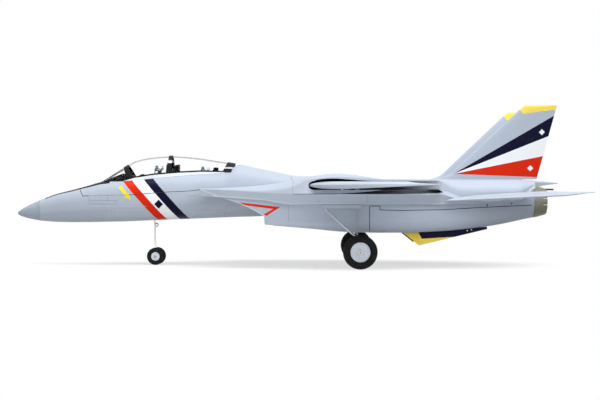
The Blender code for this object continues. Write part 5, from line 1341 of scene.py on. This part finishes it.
def finPaint():
    paint = skinPaint("finPaint")
    ax, az = fin["apex"]
    lean = (fin["tipY"] - fin["rootY"]) / (fin["tipZ"] - fin["base"])
    away = paint.slant(paint.calc("ABSOLUTE", paint.y), paint.z, 1.0, -lean)
    outer = paint.calc("GREATER_THAN", away, fin["rootY"] - lean * fin["base"])
    for colour, low, high in fin["bands"]:
        turns = [math.radians(angle) for angle in (low, high)]
        ends = [(ax + fin["far"] * math.cos(a), az + fin["far"] * math.sin(a)) for a in turns]
        paint.over(palette[colour], paint.both(outer, paint.inside([(ax, az)] + ends)))
    for gem in fin["gems"]:
        paint.over(palette["white"], paint.both(outer, paint.inside(diamondAt(*gem))))
    paint.over(palette["yellow"], paint.inside(fin["cap"]))
    return skinDone(paint)


def buildFin(name, side, finish):
    height = fin["tipZ"] - fin["base"]
    startRound = 1 - fin["tipRound"] / height
    rise = fin["filletRise"] / height
    shares = list(np.linspace(0, rise, fin["filletRings"]))[:-1]
    shares += spanShares(startRound, fin["spanRings"], fin["tipShares"], rise)
    loops = []
    for share in shares:
        fore, aft, thick = panelAt(fin, share, startRound)
        fore -= (fin["root"][0] - fin["filletX"]) * max(0.0, 1 - share / rise) ** 2
        y = partWay(fin["rootY"], fin["tipY"], share)
        ring = sectionRing(fore, aft - fore, thick, fin["points"], wing["edgeHalf"])
        loops.append([Vector((x, y + t, fin["base"] + height * share)) for x, t in ring])
    shape = loft(mirrored(loops, side))
    foamPiece("finPanel_" + name, shape, finish, "fin_" + name)


ventral = {
    "look": {"colour": palette["yellow"], "rough": 0.45, "gloss": foamSkin["gloss"],
             "clouds": ((colourOf(236, 188, 40), 40.0, 4.0, 0.45, 0.8, 0.35),),
             "sheen": (30.0, 5.0), "sheenRange": (0.35, 0.5)},
    "navy": ((0.173, 0.048), (0.1781, 0.0385), (0.2247, 0.0414), (0.272, 0.053), (0.272, 0.062)),
    "dots": ((0.239, 0.0495), (0.2445, 0.0505)), "dotRadius": 0.0009, "bevel": 0.0007, "middle": 0.059,
}


def ventralPaint():
    paint = finishFrom("ventralPaint", ventral["look"])
    paint.over(palette["navy"], paint.inside(ventral["navy"]))
    for x, z in ventral["dots"]:
        dx, dz = paint.calc("SUBTRACT", paint.x, x), paint.calc("SUBTRACT", paint.z, z)
        away = paint.calc("ADD", paint.calc("MULTIPLY", dx, dx), paint.calc("MULTIPLY", dz, dz))
        paint.over(palette["white"], paint.calc("LESS_THAN", away, ventral["dotRadius"] ** 2))
    # painted shade: the inboard faces are navy, as they lie in shade
    inner = paint.calc("LESS_THAN", paint.calc("ABSOLUTE", paint.y), ventral["middle"])
    paint.over(palette["navy"], inner)
    paint.bump(paint.beads(foamSkin["beadScale"]), foamSkin["beadDepth"])
    return paint.done()


steelWire = {
    "colour": colourOf(205, 205, 203), "rough": 0.3, "metal": 1.0,
    "clouds": ((colourOf(120, 118, 114), 80.0, 5.0, 0.5, 0.85, 0.5),),
    "sheen": (260.0, 4.0, (1, 1, 6)), "sheenRange": (0.22, 0.38),
}
brightSteel = finishFrom("brightSteel", steelWire).done()
paint, seams = sidePanels("wingPaint", (), panelWidth, wingPlan)
wingPaint = skinDone(paint, seams)
paint, seams = sidePanels("stabPaint", (), panelWidth, stabPlan)
stabPaint = skinDone(paint, seams)
finColours = finPaint()
ventralColours = ventralPaint()
for sideName, sideSign in sides:
    buildWing(sideName, sideSign, wingPaint)
    buildStab(sideName, sideSign, stabPaint)
    buildFin(sideName, sideSign, finColours)
    ventralNode = "ventral_fin_" + sideName
    ventralShape = softEdges(solidCopy(ventralNode), ventral["bevel"], segments=3)
    setPiece("ventralFin_" + sideName, ventralShape, ventralColours, "airframe", ventralNode)
print("wings and tail done")


# nozzles: twelve petals round each can

nozzle = {
    "x": (0.3263, 0.3442), "radius": (0.0215, 0.0166), "taper": 1.4, "wall": 0.0015,
    "middle": (0.055, 0.0885), "petals": 12, "gap": 0.001, "slit": 0.0065, "ridge": 0.0005,
    "rings": 15, "halfPoints": 4,
    "look": {"colour": palette["olive"], "rough": 0.5, "metal": 0.25,
             "clouds": ((colourOf(88, 86, 72), 34.0, 5.0, 0.45, 0.75, 0.55, (0.25, 1, 1)),
                        (colourOf(160, 158, 140), 90.0, 4.0, 0.58, 0.85, 0.4, (0.15, 1, 1))),
             "sheen": (120.0, 4.0), "sheenRange": (0.38, 0.6), "grain": (900.0, 3.0, 0.000015, (0.2, 1, 1))},
}


def petalShape():
    # one petal along +X, standing at +Z; its edges stop short of the next
    start, end = nozzle["x"]
    half = math.pi / nozzle["petals"]
    offs = [k / nozzle["halfPoints"] - 1 for k in range(2 * nozzle["halfPoints"] + 1)]
    rings = []
    for share in np.linspace(0, 1, nozzle["rings"]):
        radius = partWay(*nozzle["radius"], share ** nozzle["taper"])
        cutBack = nozzle["gap"] / 2 / radius if share > 1 - nozzle["slit"] / (end - start) else 0.0
        row = [((half - cutBack) * off, radius + nozzle["ridge"] * (1 - off ** 2) * share) for off in offs]
        row += [(angle, r - nozzle["wall"]) for angle, r in reversed(row)]
        x = partWay(start, end, share)
        rings.append([Vector((x, r * math.sin(angle), r * math.cos(angle))) for angle, r in row])
    return loft(rings)


nozzleOlive = finishFrom("nozzleOlive", nozzle["look"]).done()
for sideName, sideSign in sides:
    centre = Vector((0, sideSign * nozzle["middle"][0], nozzle["middle"][1]))
    places = [(centre, (turn, 0, 0)) for turn in fullTurn(nozzle["petals"])]
    spread("nozzleCan_" + sideName, petalShape(), places, nozzleOlive, "airframe", "nozzle_" + sideName,
           angle=wideAngle)
print("nozzles done")


# wheels and legs

wheels = {
    "main": {"radius": 0.0227, "width": 0.015, "hub": 0.0129, "crown": 0.006, "boss": 0.0035,
             "bore": 0.0019, "count": 96},
    "nose": {"radius": 0.012, "width": 0.006, "hub": 0.0058, "crown": 0.003, "boss": 0.0024,
             "bore": 0.0016, "count": 72},
    # tyre: shares of the half width at the hub and up the side, share of the height there, tread
    "seat": 0.8, "side": 0.93, "sideUp": 0.12, "treadSteps": 24, "grooves": (9, 12, 15), "groove": 0.00035,
    # hub, from the bore out: share of the half width, then which radius and how much of it
    "hubFace": ((1.0, "bore", 1.0), (1.0, "boss", 0.86), (0.96, "boss", 1.0), (0.7, "boss", 1.2),
                (0.66, "boss", 1.45), (0.66, "hub", 0.78), (0.74, "hub", 0.84), (0.82, "hub", 0.9),
                (0.84, "hub", 0.96), (0.8, "hub", 1.0)),
    "rubber": {"colour": colourOf(22, 22, 23), "rough": 0.75, "gloss": 0.18,
               "clouds": ((colourOf(52, 51, 50), 160.0, 5.0, 0.5, 0.85, 0.5),),
               "sheen": (240.0, 5.0), "sheenRange": (0.62, 0.88), "grain": (1400.0, 3.0, 0.00004)},
    "plastic": {"colour": colourOf(228, 234, 242), "rough": 0.4,
                "clouds": ((colourOf(200, 208, 218), 420.0, 3.0, 0.45, 0.7, 0.45),),
                "sheen": (300.0, 4.0), "sheenRange": (0.32, 0.5), "grain": (1800.0, 2.0, 0.000012)},
}


rubber = finishFrom("tyreRubber", wheels["rubber"]).done()
hubGrey = finishFrom("hubPlastic", wheels["plastic"]).done()


def tyreProfile(size):
    half, crown, outer = size["width"] / 2, size["crown"], size["radius"]
    inner = size["hub"] + fit
    wall = [(half * wheels["seat"], inner),
            (half * wheels["side"], inner + wheels["sideUp"] * (outer - inner))]
    tread = []
    for k in range(wheels["treadSteps"] + 1):
        angle = math.pi * k / wheels["treadSteps"]
        groove = wheels["groove"] if k in wheels["grooves"] else 0.0
        tread.append((-half * math.cos(angle), outer - crown + crown * math.sin(angle) - groove))
    return [(-along, radius) for along, radius in wall] + tread + wall[::-1]


def hubProfile(size):
    half = size["width"] / 2
    face = [(half * out, size[key] * share) for out, key, share in wheels["hubFace"]]
    return [(-along, radius) for along, radius in face] + face[::-1]


def centreOf(node):
    low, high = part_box(node)
    return (low + high) / 2


def buildWheels(name):
    for kind, tyreNode, hubNode in (("main", "main_tyre_" + name, "main_hub_" + name),
                                    ("nose", "nose_wheel_" + name, None)):
        size, centre = wheels[kind], centreOf(tyreNode)
        for label, profile, finish, node, slot in (("Tyre_", tyreProfile, rubber, tyreNode, "tyre_rubber"),
                                                   ("Hub_", hubProfile, hubGrey, hubNode, "hub_plastic")):
            shape = moved(spun(profile(size), size["count"], True), centre, "Z", 90.0)
            setPiece(kind + label + name, shape, finish, kind + "_wheel_" + name, node, fineAngle)


def bentPath(corners, radius, count=10):
    # straight runs with a round bend at each corner
    points = [Vector(corners[0])]
    for before, corner, after in zip(corners, corners[1:], corners[2:]):
        corner = Vector(corner)
        start = corner + (Vector(before) - corner).normalized() * radius
        end = corner + (Vector(after) - corner).normalized() * radius
        for k in range(count + 1):
            t = k / count
            points.append(start * (1 - t) ** 2 + corner * 2 * t * (1 - t) + end * t ** 2)
    return points + [Vector(corners[-1])]


gear = {
    "leg": (0.0905, 0.0968), "brace": 0.0494, "axle": (0.0944, 0.0227), "top": 0.0844, "radius": 0.0012,
    "braceRadius": 0.0009, "bend": 0.003, "kink": 0.022, "braceFoot": 0.018, "braceKink": (0.0065, 0.0232),
    "blockLow": 0.0797, "blockUnder": 0.0026, "blockEdge": 0.0006, "axleShort": 0.0003,
    # solder where the brace meets the leg: ends along and up from the brace's foot, radius, bevel
    "solder": ((-0.0002, 0.0022), (0.0006, -0.0012)), "solderRadius": 0.00186, "solderEdge": 0.0005,
    "solderPoints": 20,
    "collar": (0.003, 0.0024), "collarBore": 0.0006, "collarEdge": (0.12, 0.9), "collarPoints": 40,
    "noseX": -0.1888, "noseAxle": (-0.1864, 0.012), "noseRadius": 0.001, "noseBend": 0.0025,
    "noseKinkZ": 0.0335, "noseCollar": 0.002,
    "coil": (0.0552, 0.0022, 0.0029), "coilSteps": 48, "lead": 0.004, "noseTrack": 0.02,
    "noseWidth": 0.006,
}


def collarShape(radius, width):
    # wheel collar with broken edges
    inset, low = gear["collarEdge"]
    bore = gear["collarBore"]
    return spun([(0, bore), (0, radius * low), (width * inset, radius), (width * (1 - inset), radius),
                 (width, radius * low), (width, bore)], gear["collarPoints"], True)


def buildMainLeg(name, side):
    legX, y = gear["leg"][0], side * gear["leg"][1]
    axleX, axleZ = gear["axle"]
    low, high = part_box("main_strut_" + name)
    axleEnd = max(abs(low.y), abs(high.y)) - gear["axleShort"]
    leg = bentPath([(legX, y, gear["top"]), (legX, y, axleZ + gear["kink"]), (axleX, y, axleZ),
                    (axleX, side * axleEnd, axleZ)], gear["bend"])
    footX = partWay(legX, axleX, 1 - gear["braceFoot"] / gear["kink"])
    footZ = axleZ + gear["braceFoot"]
    kinkX, kinkZ = gear["braceKink"]
    underBlock = gear["blockLow"] - gear["blockUnder"]
    brace = bentPath([(gear["brace"], y, gear["top"]), (gear["brace"], y, underBlock),
                      (legX - kinkX, y, axleZ + kinkZ), (footX, y, footZ)], gear["bend"])
    collarY = axleEnd - gear["collar"][1] if side > 0 else -axleEnd
    collar = moved(collarShape(*gear["collar"]), (axleX, collarY, axleZ), "Z", 90.0)
    start, end = [(footX + along, y, footZ + up) for along, up in gear["solder"]]
    solder = softEdges(rod(start, end, gear["solderRadius"], gear["solderPoints"]), gear["solderEdge"])
    # the upright leg takes a grey of painted shade, the brace stays bright steel
    shape = together([marked(wire(leg, gear["radius"]), 1), wire(brace, gear["braceRadius"]), collar, solder])
    setPiece("mainLeg_" + name, shape, [brightSteel, legShadeGrey], "airframe", "main_strut_" + name)
    blockShape = softEdges(solidCopy("gear_block_" + name), gear["blockEdge"])
    setPiece("gearBlock_" + name, blockShape, blockPaint, "airframe", "gear_block_" + name)


def buildNoseLeg():
    middle, radius, pitch = gear["coil"]
    x = gear["noseX"]
    axleX, axleZ = gear["noseAxle"]
    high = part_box("nose_strut")[1]
    coil = []
    for k in range(gear["coilSteps"] + 1):
        share = k / gear["coilSteps"]
        turn = 2 * math.pi * share
        coil.append(Vector((x + radius - radius * math.cos(turn), pitch * share,
                            middle - radius * math.sin(turn))))
    foot = Vector((axleX, 0, axleZ))
    kink = Vector((x, pitch, gear["noseKinkZ"]))
    lower = bentPath([coil[-1], kink, foot + Vector((0, 0, gear["lead"])), foot], gear["noseBend"])
    path = [Vector((x, 0, high.z)), Vector((x, 0, middle + gear["lead"]))] + coil + lower[1:]
    axle = high.y
    shapes = [wire(path, gear["noseRadius"])]
    shapes.append(rod((axleX, -axle, axleZ), (axleX, axle, axleZ), gear["noseRadius"]))
    width = gear["collar"][1]
    inner = gear["noseTrack"] / 2 - gear["noseWidth"] / 2 - running - width
    for start in (inner, axle - width):
        for y in (-start - width, start):
            shapes.append(moved(collarShape(gear["noseCollar"], width), (axleX, y, axleZ), "Z", 90.0))
    setPiece("noseLeg", together(shapes), brightSteel, "nose_leg", "nose_strut")


blockPaint = skinDone(skinPaint("blockPaint"))
# painted shade: a dull grey for the steel upright leg, which looks dim in shade
legShadeGrey = skinDone(skinPaint("legShadeGrey", colourOf(168, 172, 178)))
for sideName, sideSign in sides:
    buildWheels(sideName)
    buildMainLeg(sideName, sideSign)
buildNoseLeg()
print("wheels and legs done")


# what is inside: merged copies with broken edges and their own finishes

moulded = {"rough": 0.45, "sheen": (200.0, 4.0), "sheenRange": (0.35, 0.55), "grain": (2000.0, 2.0, 0.00001)}
darker = 0.55


def mouldedPlastic(name, colour, most=0.3):
    clouds = ((tuple(darker * c for c in colour), 70.0, 5.0, 0.5, 0.85, most),)
    return finishFrom(name, moulded, colour=colour, clouds=clouds).done()


servoBlue = mouldedPlastic("servoCase", colourOf(32, 46, 92))
nylonWhite = mouldedPlastic("nylonWhite", colourOf(226, 226, 220), 0.12)
fanBlack = mouldedPlastic("fanPlastic", colourOf(40, 41, 45))
wrapBlue = mouldedPlastic("batteryWrap", colourOf(38, 58, 112))
boardBlack = mouldedPlastic("deviceCase", colourOf(38, 40, 44))
motorCan = finishFrom("motorCan", steelWire, colour=colourOf(150, 152, 158), sheenRange=(0.28, 0.45)).done()

insideEdges = {"battery_pack": 0.0015}
insideEdge = 0.0003
inside = {
    "steering_servo": (servoBlue, "airframe", "servo_case"),
    "battery_pack": (wrapBlue, "airframe", "battery_wrap"),
    "receiver": (boardBlack, "airframe", "electronics"),
    "nose_gear_block": (nylonWhite, "airframe", "white_nylon"),
    "nose_tiller": (nylonWhite, "nose_leg", "white_nylon"),
    "steering_arm": (nylonWhite, "steering_arm", "white_nylon"),
    "steering_link": (brightSteel, "steering_link", "steel_wire"),
}
for sideName, sideSign in sides:
    inside.update({
        "speed_controller_" + sideName: (boardBlack, "airframe", "electronics"),
        "sweep_servo_" + sideName: (servoBlue, "airframe", "servo_case"),
        "stab_servo_" + sideName: (servoBlue, "airframe", "servo_case"),
        "sweep_arm_" + sideName: (nylonWhite, "sweep_arm_" + sideName, "white_nylon"),
        "sweep_link_" + sideName: (brightSteel, "sweep_link_" + sideName, "steel_wire"),
        "fan_motor_" + sideName: (motorCan, "airframe", "motor_can"),
        "fan_shroud_" + sideName: (fanBlack, "airframe", "fan_plastic"),
        "fan_rotor_" + sideName: (fanBlack, "fan_rotor_" + sideName, "fan_plastic"),
    })
for node, (finish, body, slotName) in inside.items():
    shape = softEdges(solidCopy(node), insideEdges.get(node, insideEdge), wideAngle)
    setPiece(node + "_dressed", shape, finish, body, node)
print("inside pieces done")


# cockpit: tray, seats, panels and two crew figures

cockpit = {
    "floor": 0.1063, "trayTop": 0.1083, "trayHalf": 0.0147, "trayEdge": 0.0004, "ends": (-0.2137, -0.1003),
    # crew x, head level, headrest front and rear and top
    "seats": ((-0.1812, 0.135, -0.1707, -0.1614, 0.1422), (-0.117, 0.1335, -0.1065, -0.1, 0.1352)),
    "pan": 0.1143, "panFore": 0.009, "panAft": 0.0075, "panHalf": 0.0085, "panLap": 0.0006,
    "panEdge": 0.0009, "backHalf": 0.0072, "backThick": 0.003, "backDrop": 0.004, "backEdge": 0.0008,
    "restHalf": 0.005, "restHigh": 0.0085, "restLean": 0.0006, "restEdge": 0.0013,
    "railOut": 0.0012, "railUp": 0.001, "railHalf": 0.0006, "railEdge": 0.0003,
    # panel front, rear, top and half width
    "panels": ((-0.209, -0.203, 0.1262, 0.0085), (-0.161, -0.153, 0.1394, 0.008)),
    "hood": 0.0016, "hoodLap": 0.0012, "hoodSlope": 0.0016, "panelEdge": 0.0005,
    # dials: across, below the hood
    "dials": ((-0.0048, 0.0036), (0.0, 0.0036), (0.0048, 0.0036), (-0.0048, 0.0076), (0.0048, 0.0076),
              (0.0, 0.0078)),
    "dialIn": 0.0013, "dialPoints": 28,
    "dial": ((0, 0), (0, 0.0015), (0.0004, 0.0015), (0.0005, 0.0013), (0.0003, 0.0012), (0.0003, 0)),
    "consoleY": (0.0096, 0.0143), "consoleTop": 0.1146, "consoleIn": (0.01, 0.002), "consoleEdge": 0.0008,
    "knobs": 9, "knobsIn": (0.018, 0.016), "knobPoints": 20,
    "knob": ((0, 0), (0, 0.0007), (0.0009, 0.0006), (0.0011, 0.0004), (0.0011, 0)),
    "stickFoot": 0.0118, "stickAhead": 0.0112, "stickTop": 0.1205, "stickRadius": 0.0006,
    "stickPoints": 16, "stickBall": (0.0011, (1, 1, 1.8)), "stickBallZ": 0.1215,
}


def softBlock(low, high, width):
    return softEdges(block(low, high), width, segments=3)


def ball(radius, scale, place, steps=24, count=40):
    turns = [math.pi * k / steps for k in range(1, steps)]
    profile = [(-radius, 0)] + [(-radius * math.cos(t), radius * math.sin(t)) for t in turns] + [(radius, 0)]
    return moved(spun(profile, count), place, scale=scale)


crew = {
    "shift": -0.0008, "radius": 0.0055, "rings": 22, "points": 40,
    # trunk: up from the seat or the head, half width and half depth
    "hips": ((0.0, 0.0064, 0.0046), (0.004, 0.0066, 0.0047)),
    "chest": ((-0.0126, 0.0073, 0.0047), (-0.0098, 0.0071, 0.0042), (-0.0078, 0.005, 0.0034),
              (-0.0058, 0.0029, 0.0027), (-0.003, 0.0026, 0.0025)),
    "shoulder": (0.0004, 0.0062, -0.0104), "elbow": (-0.0006, 0.0084, -0.016),
    "hand": (-0.0098, 0.003, 0.1212), "armRadius": 0.0017, "glove": (0.0018, (1.2, 0.9, 1.0)),
    "bend": 0.0022, "limbPoints": 20,
    "hip": (-0.002, 0.0034, 0.0024), "knee": (-0.0108, 0.0044, 0.0044), "ankle": (-0.0132, 0.0046, 0.0014),
    "legRadius": 0.0021, "boot": (-0.0165, -0.0115), "bootHalf": 0.0014, "bootTop": 0.0028,
    "bootEdge": 0.0007, "ear": (0.0002, 0.0049, -0.0008), "earCup": (0.0016, (1.0, 0.45, 1.2)),
    "helmet": (1.04, 0.94, 1.0), "visor": (1.06, 0.96, 1.02), "visorGrow": 1.05,
    "windowAhead": 0.0012, "windowZ": (-0.0012, 0.003), "windowFar": 0.02,
    "mask": ((0, 0), (0, 0.0013), (0.001, 0.0019), (0.003, 0.0023), (0.003, 0)),
    "maskAt": (-0.0068, 0, -0.0027),
    "hose": ((-0.0062, 0, -0.0034), (-0.007, 0.0004, -0.0095), (-0.0042, 0.0034, -0.0135)),
    "hoseBend": 0.0026, "hoseRadius": 0.0007, "hosePoints": 12, "maskPoints": 28,
    "suit": {"colour": colourOf(104, 110, 96), "rough": 0.85,
             "clouds": ((colourOf(62, 68, 60), 260.0, 5.0, 0.42, 0.72, 0.7),
                        (colourOf(62, 68, 60), 900.0, 3.0, 0.55, 0.8, 0.4, (1, 1, 0.4))),
             "grain": (420.0, 4.0, 0.00025)},
    # middle and half width of a strap and of the belt, and where the straps end
    "webbing": colourOf(38, 42, 38), "strap": (0.003, 0.0006), "belt": (0.1178, 0.0007), "strapFrom": 0.1185,
    "shell": {"colour": colourOf(214, 224, 234), "rough": 0.25,
              "clouds": ((colourOf(176, 188, 200), 240.0, 4.0, 0.5, 0.8, 0.5),),
              "sheen": (500.0, 4.0), "sheenRange": (0.18, 0.36)},
}
suitSlot, shellSlot, maskSlot, visorSlot = range(4)


def suitFinish():
    # flying suit with a harness over the shoulders and a lap belt
    suit = finishFrom("flyingSuit", crew["suit"])
    strap = suit.both(suit.near(suit.calc("ABSOLUTE", suit.y), *crew["strap"]),
                      suit.calc("GREATER_THAN", suit.z, crew["strapFrom"]))
    suit.over(crew["webbing"], suit.either([strap, suit.near(suit.z, *crew["belt"])]))
    return suit.done()


def crewFigure(x, head):
    x += crew["shift"]
    seat, tray = cockpit["pan"] + fit, cockpit["trayTop"]
    rows = [(seat + up, wide, deep) for up, wide, deep in crew["hips"]]
    rows += [(head + up, wide, deep) for up, wide, deep in crew["chest"]]
    rings = []
    for z, wide, deep in smoothRows(rows, np.linspace(rows[0][0], rows[-1][0], crew["rings"])):
        rings.append([Vector((x + deep * math.cos(a), wide * math.sin(a), z))
                      for a in fullTurn(crew["points"])])
    parts = [marked(loft(rings), suitSlot)]

    def at(key, level, side):
        along, across, up = crew[key]
        return x + along, side * across, level + up

    def limb(points, radius):
        return marked(wire(bentPath(points, crew["bend"]), radius, crew["limbPoints"]), suitSlot)

    for side in signs:
        hand, ankle = at("hand", 0.0, side), at("ankle", tray, side)
        parts.append(limb([at("shoulder", head, side), at("elbow", head, side), hand], crew["armRadius"]))
        parts.append(marked(ball(*crew["glove"], hand), maskSlot))
        parts.append(limb([at("hip", seat, side), at("knee", seat, side), ankle], crew["legRadius"]))
        toe, heel = crew["boot"]
        boot = softBlock((x + toe, ankle[1] - crew["bootHalf"], tray + fit),
                         (x + heel, ankle[1] + crew["bootHalf"], tray + crew["bootTop"]), crew["bootEdge"])
        parts.append(marked(boot, maskSlot))
        parts.append(marked(ball(*crew["earCup"], at("ear", head, side)), shellSlot))
    parts.append(marked(ball(crew["radius"], crew["helmet"], (x, 0, head)), shellSlot))
    visor = ball(crew["radius"] * crew["visorGrow"], crew["visor"], (x, 0, head))
    low, high = crew["windowZ"]
    far = crew["windowFar"]
    window = block((x - far, -far, head + low), (x - crew["windowAhead"], far, head + high))
    parts.append(marked(joined(visor, window, "INTERSECT"), visorSlot))
    parts.append(marked(moved(spun(crew["mask"], crew["maskPoints"]), at("maskAt", head, 1)), maskSlot))
    hose = bentPath([(x + along, y, head + up) for along, y, up in crew["hose"]], crew["hoseBend"])
    parts.append(marked(wire(hose, crew["hoseRadius"], crew["hosePoints"]), maskSlot))
    return together(parts)


def seatShape(x, restFore, restAft, restTop):
    tray = cockpit["trayTop"] - fit
    half, back, rest = cockpit["panHalf"], cockpit["backHalf"], cockpit["restHalf"]
    aft = x + cockpit["panAft"]
    backTop, restLean = restTop - cockpit["backDrop"], cockpit["restLean"]
    lean = [(aft, tray), (aft + cockpit["backThick"], tray), (restAft - restLean, backTop),
            (restFore - restLean, backTop)]
    parts = [softBlock((x - cockpit["panFore"], -half, tray), (aft + cockpit["panLap"], half, cockpit["pan"]),
                       cockpit["panEdge"]),
             softEdges(sidePrism(lean, -back, back), cockpit["backEdge"], segments=3),
             softBlock((restFore, -rest, restTop - cockpit["restHigh"]), (restAft, rest, restTop),
                       cockpit["restEdge"])]
    rail = [(along, up + cockpit["railUp"]) for along, up in lean]
    for side in signs:
        y = side * (back + cockpit["railOut"])
        rails = sidePrism(rail, y - cockpit["railHalf"], y + cockpit["railHalf"])
        parts.append(softEdges(rails, cockpit["railEdge"]))
    return together(parts)


def buildCockpit():
    tray, half = cockpit["trayTop"], cockpit["trayHalf"]
    start, end = cockpit["ends"]
    parts = [softBlock((start, -half, cockpit["floor"]), (end, half, tray), cockpit["trayEdge"])]
    inner, outer = cockpit["consoleY"]
    top = cockpit["consoleTop"]
    dials, knobs = [], []
    for side in signs:
        low, high = sorted((side * inner, side * outer))
        fore, aft = cockpit["consoleIn"]
        parts.append(softBlock((start + fore, low, tray - fit), (end - aft, high, top),
                               cockpit["consoleEdge"]))
        fore, aft = cockpit["knobsIn"]
        for x in np.linspace(start + fore, end - aft, cockpit["knobs"]):
            knobs.append((Vector((x, (low + high) / 2, top - fit)), (0, -math.pi / 2, 0)))
    for fore, aft, top, wide in cockpit["panels"]:
        under, face = top - cockpit["hood"], aft - cockpit["hoodLap"]
        outline = ((fore, tray - fit), (face, tray - fit), (face, under), (aft, under),
                   (aft - cockpit["hoodSlope"], top), (fore, under))
        parts.append(softEdges(sidePrism(outline, -wide, wide), cockpit["panelEdge"], fineAngle, 3))
        dials += [(Vector((aft - cockpit["dialIn"], y, under - drop)), (0, 0, 0))
                  for y, drop in cockpit["dials"]]
    sticks = []
    for x, head, *rest in cockpit["seats"]:
        parts.append(seatShape(x, *rest))
        ahead = x - cockpit["stickAhead"]
        sticks.append(rod((x - cockpit["stickFoot"], 0, tray - fit), (ahead, 0, cockpit["stickTop"]),
                          cockpit["stickRadius"], cockpit["stickPoints"]))
        sticks.append(ball(*cockpit["stickBall"], (ahead, 0, cockpit["stickBallZ"])))
    setPiece("cockpitTray", together(parts), blackTrim, "hatch", "cockpit_tray")
    dial = spun(cockpit["dial"], cockpit["dialPoints"])
    spread("panelDials", dial, dials, dialFace, "hatch")
    knob = spun(cockpit["knob"], cockpit["knobPoints"])
    spread("consoleKnobs", knob, knobs, nylonWhite, "hatch")
    finishes = [flyingSuit, helmetShell, maskGrey, visorDark]
    for (x, head, *rest), node in zip(cockpit["seats"], ("pilot_front", "pilot_rear")):
        setPiece(node + "_dressed", crewFigure(x, head), finishes, "hatch", node, wideAngle)
    setPiece("controlSticks", together(sticks), blackTrim, "hatch")
    print("cockpit done")


dialFace = finishFrom("dialFace", blackPlastic, colour=colourOf(92, 98, 96), sheenRange=(0.3, 0.45)).done()
visorDark = finishFrom("visorDark", blackPlastic, colour=colourOf(104, 116, 130),
                       sheenRange=(0.1, 0.2)).done()
maskGrey = finishFrom("maskGrey", blackPlastic, colour=colourOf(88, 94, 98)).done()
flyingSuit = suitFinish()
helmetShell = finishFrom("helmetShell", crew["shell"]).done()
buildCockpit()


# stage, light and camera

stage = {
    "half": 6.0, "rough": 0.9, "seen": (0.9, 0.87, 0.84), "sky": (0.92, 0.96, 1.0), "skyLevel": 0.34,
    # white outside an oval under the jet: where it starts and is full, its shares there
    "oval": (0.42, 0.16), "fade": (0.5, 1.0, 0.62, 1.0),
    # along X, how bright the floor is for the light it sends back
    "bounce": ((-0.2, 0.0, 0.5, 1.0), (0.1, 0.32, 1.0, 0.32)),
}


def seenRays(tree):
    # rays from the camera, through glass and off what shines
    path = tree.nodes.new("ShaderNodeLightPath")
    out = path.outputs["Is Camera Ray"]
    for name in ("Is Transmission Ray", "Is Glossy Ray"):
        most = tree.nodes.new("ShaderNodeMath")
        most.operation = "MAXIMUM"
        tree.links.new(out, most.inputs[0])
        tree.links.new(path.outputs[name], most.inputs[1])
        out = most.outputs[0]
    return out


def blended(tree, share, first, second, output):
    blend = tree.nodes.new("ShaderNodeMixShader")
    for socket, value in zip(blend.inputs, (share, first.outputs[0], second.outputs[0])):
        tree.links.new(value, socket)
    tree.links.new(blend.outputs[0], tree.nodes[output].inputs["Surface"])


def buildStage():
    floor = bmesh.new()
    bmesh.ops.create_grid(floor, x_segments=1, y_segments=1, size=stage["half"])
    item = placed("floor", meshOf(floor, "floor"))
    look = Finish("paleFloor", stage["seen"], stage["rough"])
    along, across = (look.calc("DIVIDE", value, reach)
                     for value, reach in zip((look.x, look.y), stage["oval"]))
    away = look.calc("SQRT", look.calc("MULTIPLY_ADD", along, along, look.calc("MULTIPLY", across, across)))
    fade = look.ramp(away, *stage["fade"])
    fade.node.interpolation_type = "SMOOTHSTEP"
    # white for what is seen, a duller floor for the light it sends back
    seen = seenRays(look.tree)
    look.colour = look.both(*(look.ramp(look.x, *values) for values in stage["bounce"]))
    look.over(stage["seen"], seen)
    white = look.tree.nodes.new("ShaderNodeEmission")
    white.inputs["Strength"].default_value = 1.0
    blended(look.tree, look.both(fade, seen), look.shader, white, "Material Output")
    item.data.materials.append(look.done())


def buildWorld():
    world = bpy.data.worlds.new("studio")
    bpy.context.scene.world = world
    world.use_nodes = True
    tree = world.node_tree
    sky = tree.nodes["Background"]
    white = tree.nodes.new("ShaderNodeBackground")
    for node, colour, level in ((sky, stage["sky"], stage["skyLevel"]), (white, (1, 1, 1), 1.0)):
        node.inputs["Color"].default_value = (*colour, 1)
        node.inputs["Strength"].default_value = level
    blended(tree, seenRays(tree), sky, white, "World Output")


def aimed(name, data, place, aim):
    item = placed(name, data)
    item.location = place
    item.rotation_euler = (Vector(aim) - Vector(place)).to_track_quat("-Z", "Y").to_euler()
    return item


# name, place, aim, length, width and power of each lamp
lamps = (
    ("overhead", (0.0, -0.48, 1.85), (0.0, 0.0, 0.08), 2.0, 0.6, 36.0),
    ("sideFill", (0.45, -1.15, 0.55), (0.2, 0.0, 0.1), 0.8, 0.6, 5.4),
)


def buildLight():
    for name, place, aim, length, width, power in lamps:
        light = bpy.data.lights.new(name, "AREA")
        light.shape = "RECTANGLE"
        light.size = length
        light.size_y = width
        light.energy = power
        aimed(name, light, place, aim)


view = {"place": (0.0457, -1.75, 0.104), "aim": (0.0137, 0.0, 0.09), "lens": 75.5, "sensor": 36.0}


def buildCamera():
    data = bpy.data.cameras.new("camera")
    data.lens = view["lens"]
    data.sensor_width = view["sensor"]
    bpy.context.scene.camera = aimed("camera", data, view["place"], view["aim"])


buildStage()
buildWorld()
buildLight()
buildCamera()
bpy.context.scene.view_settings.view_transform = "Standard"
print("stage, light and camera done")
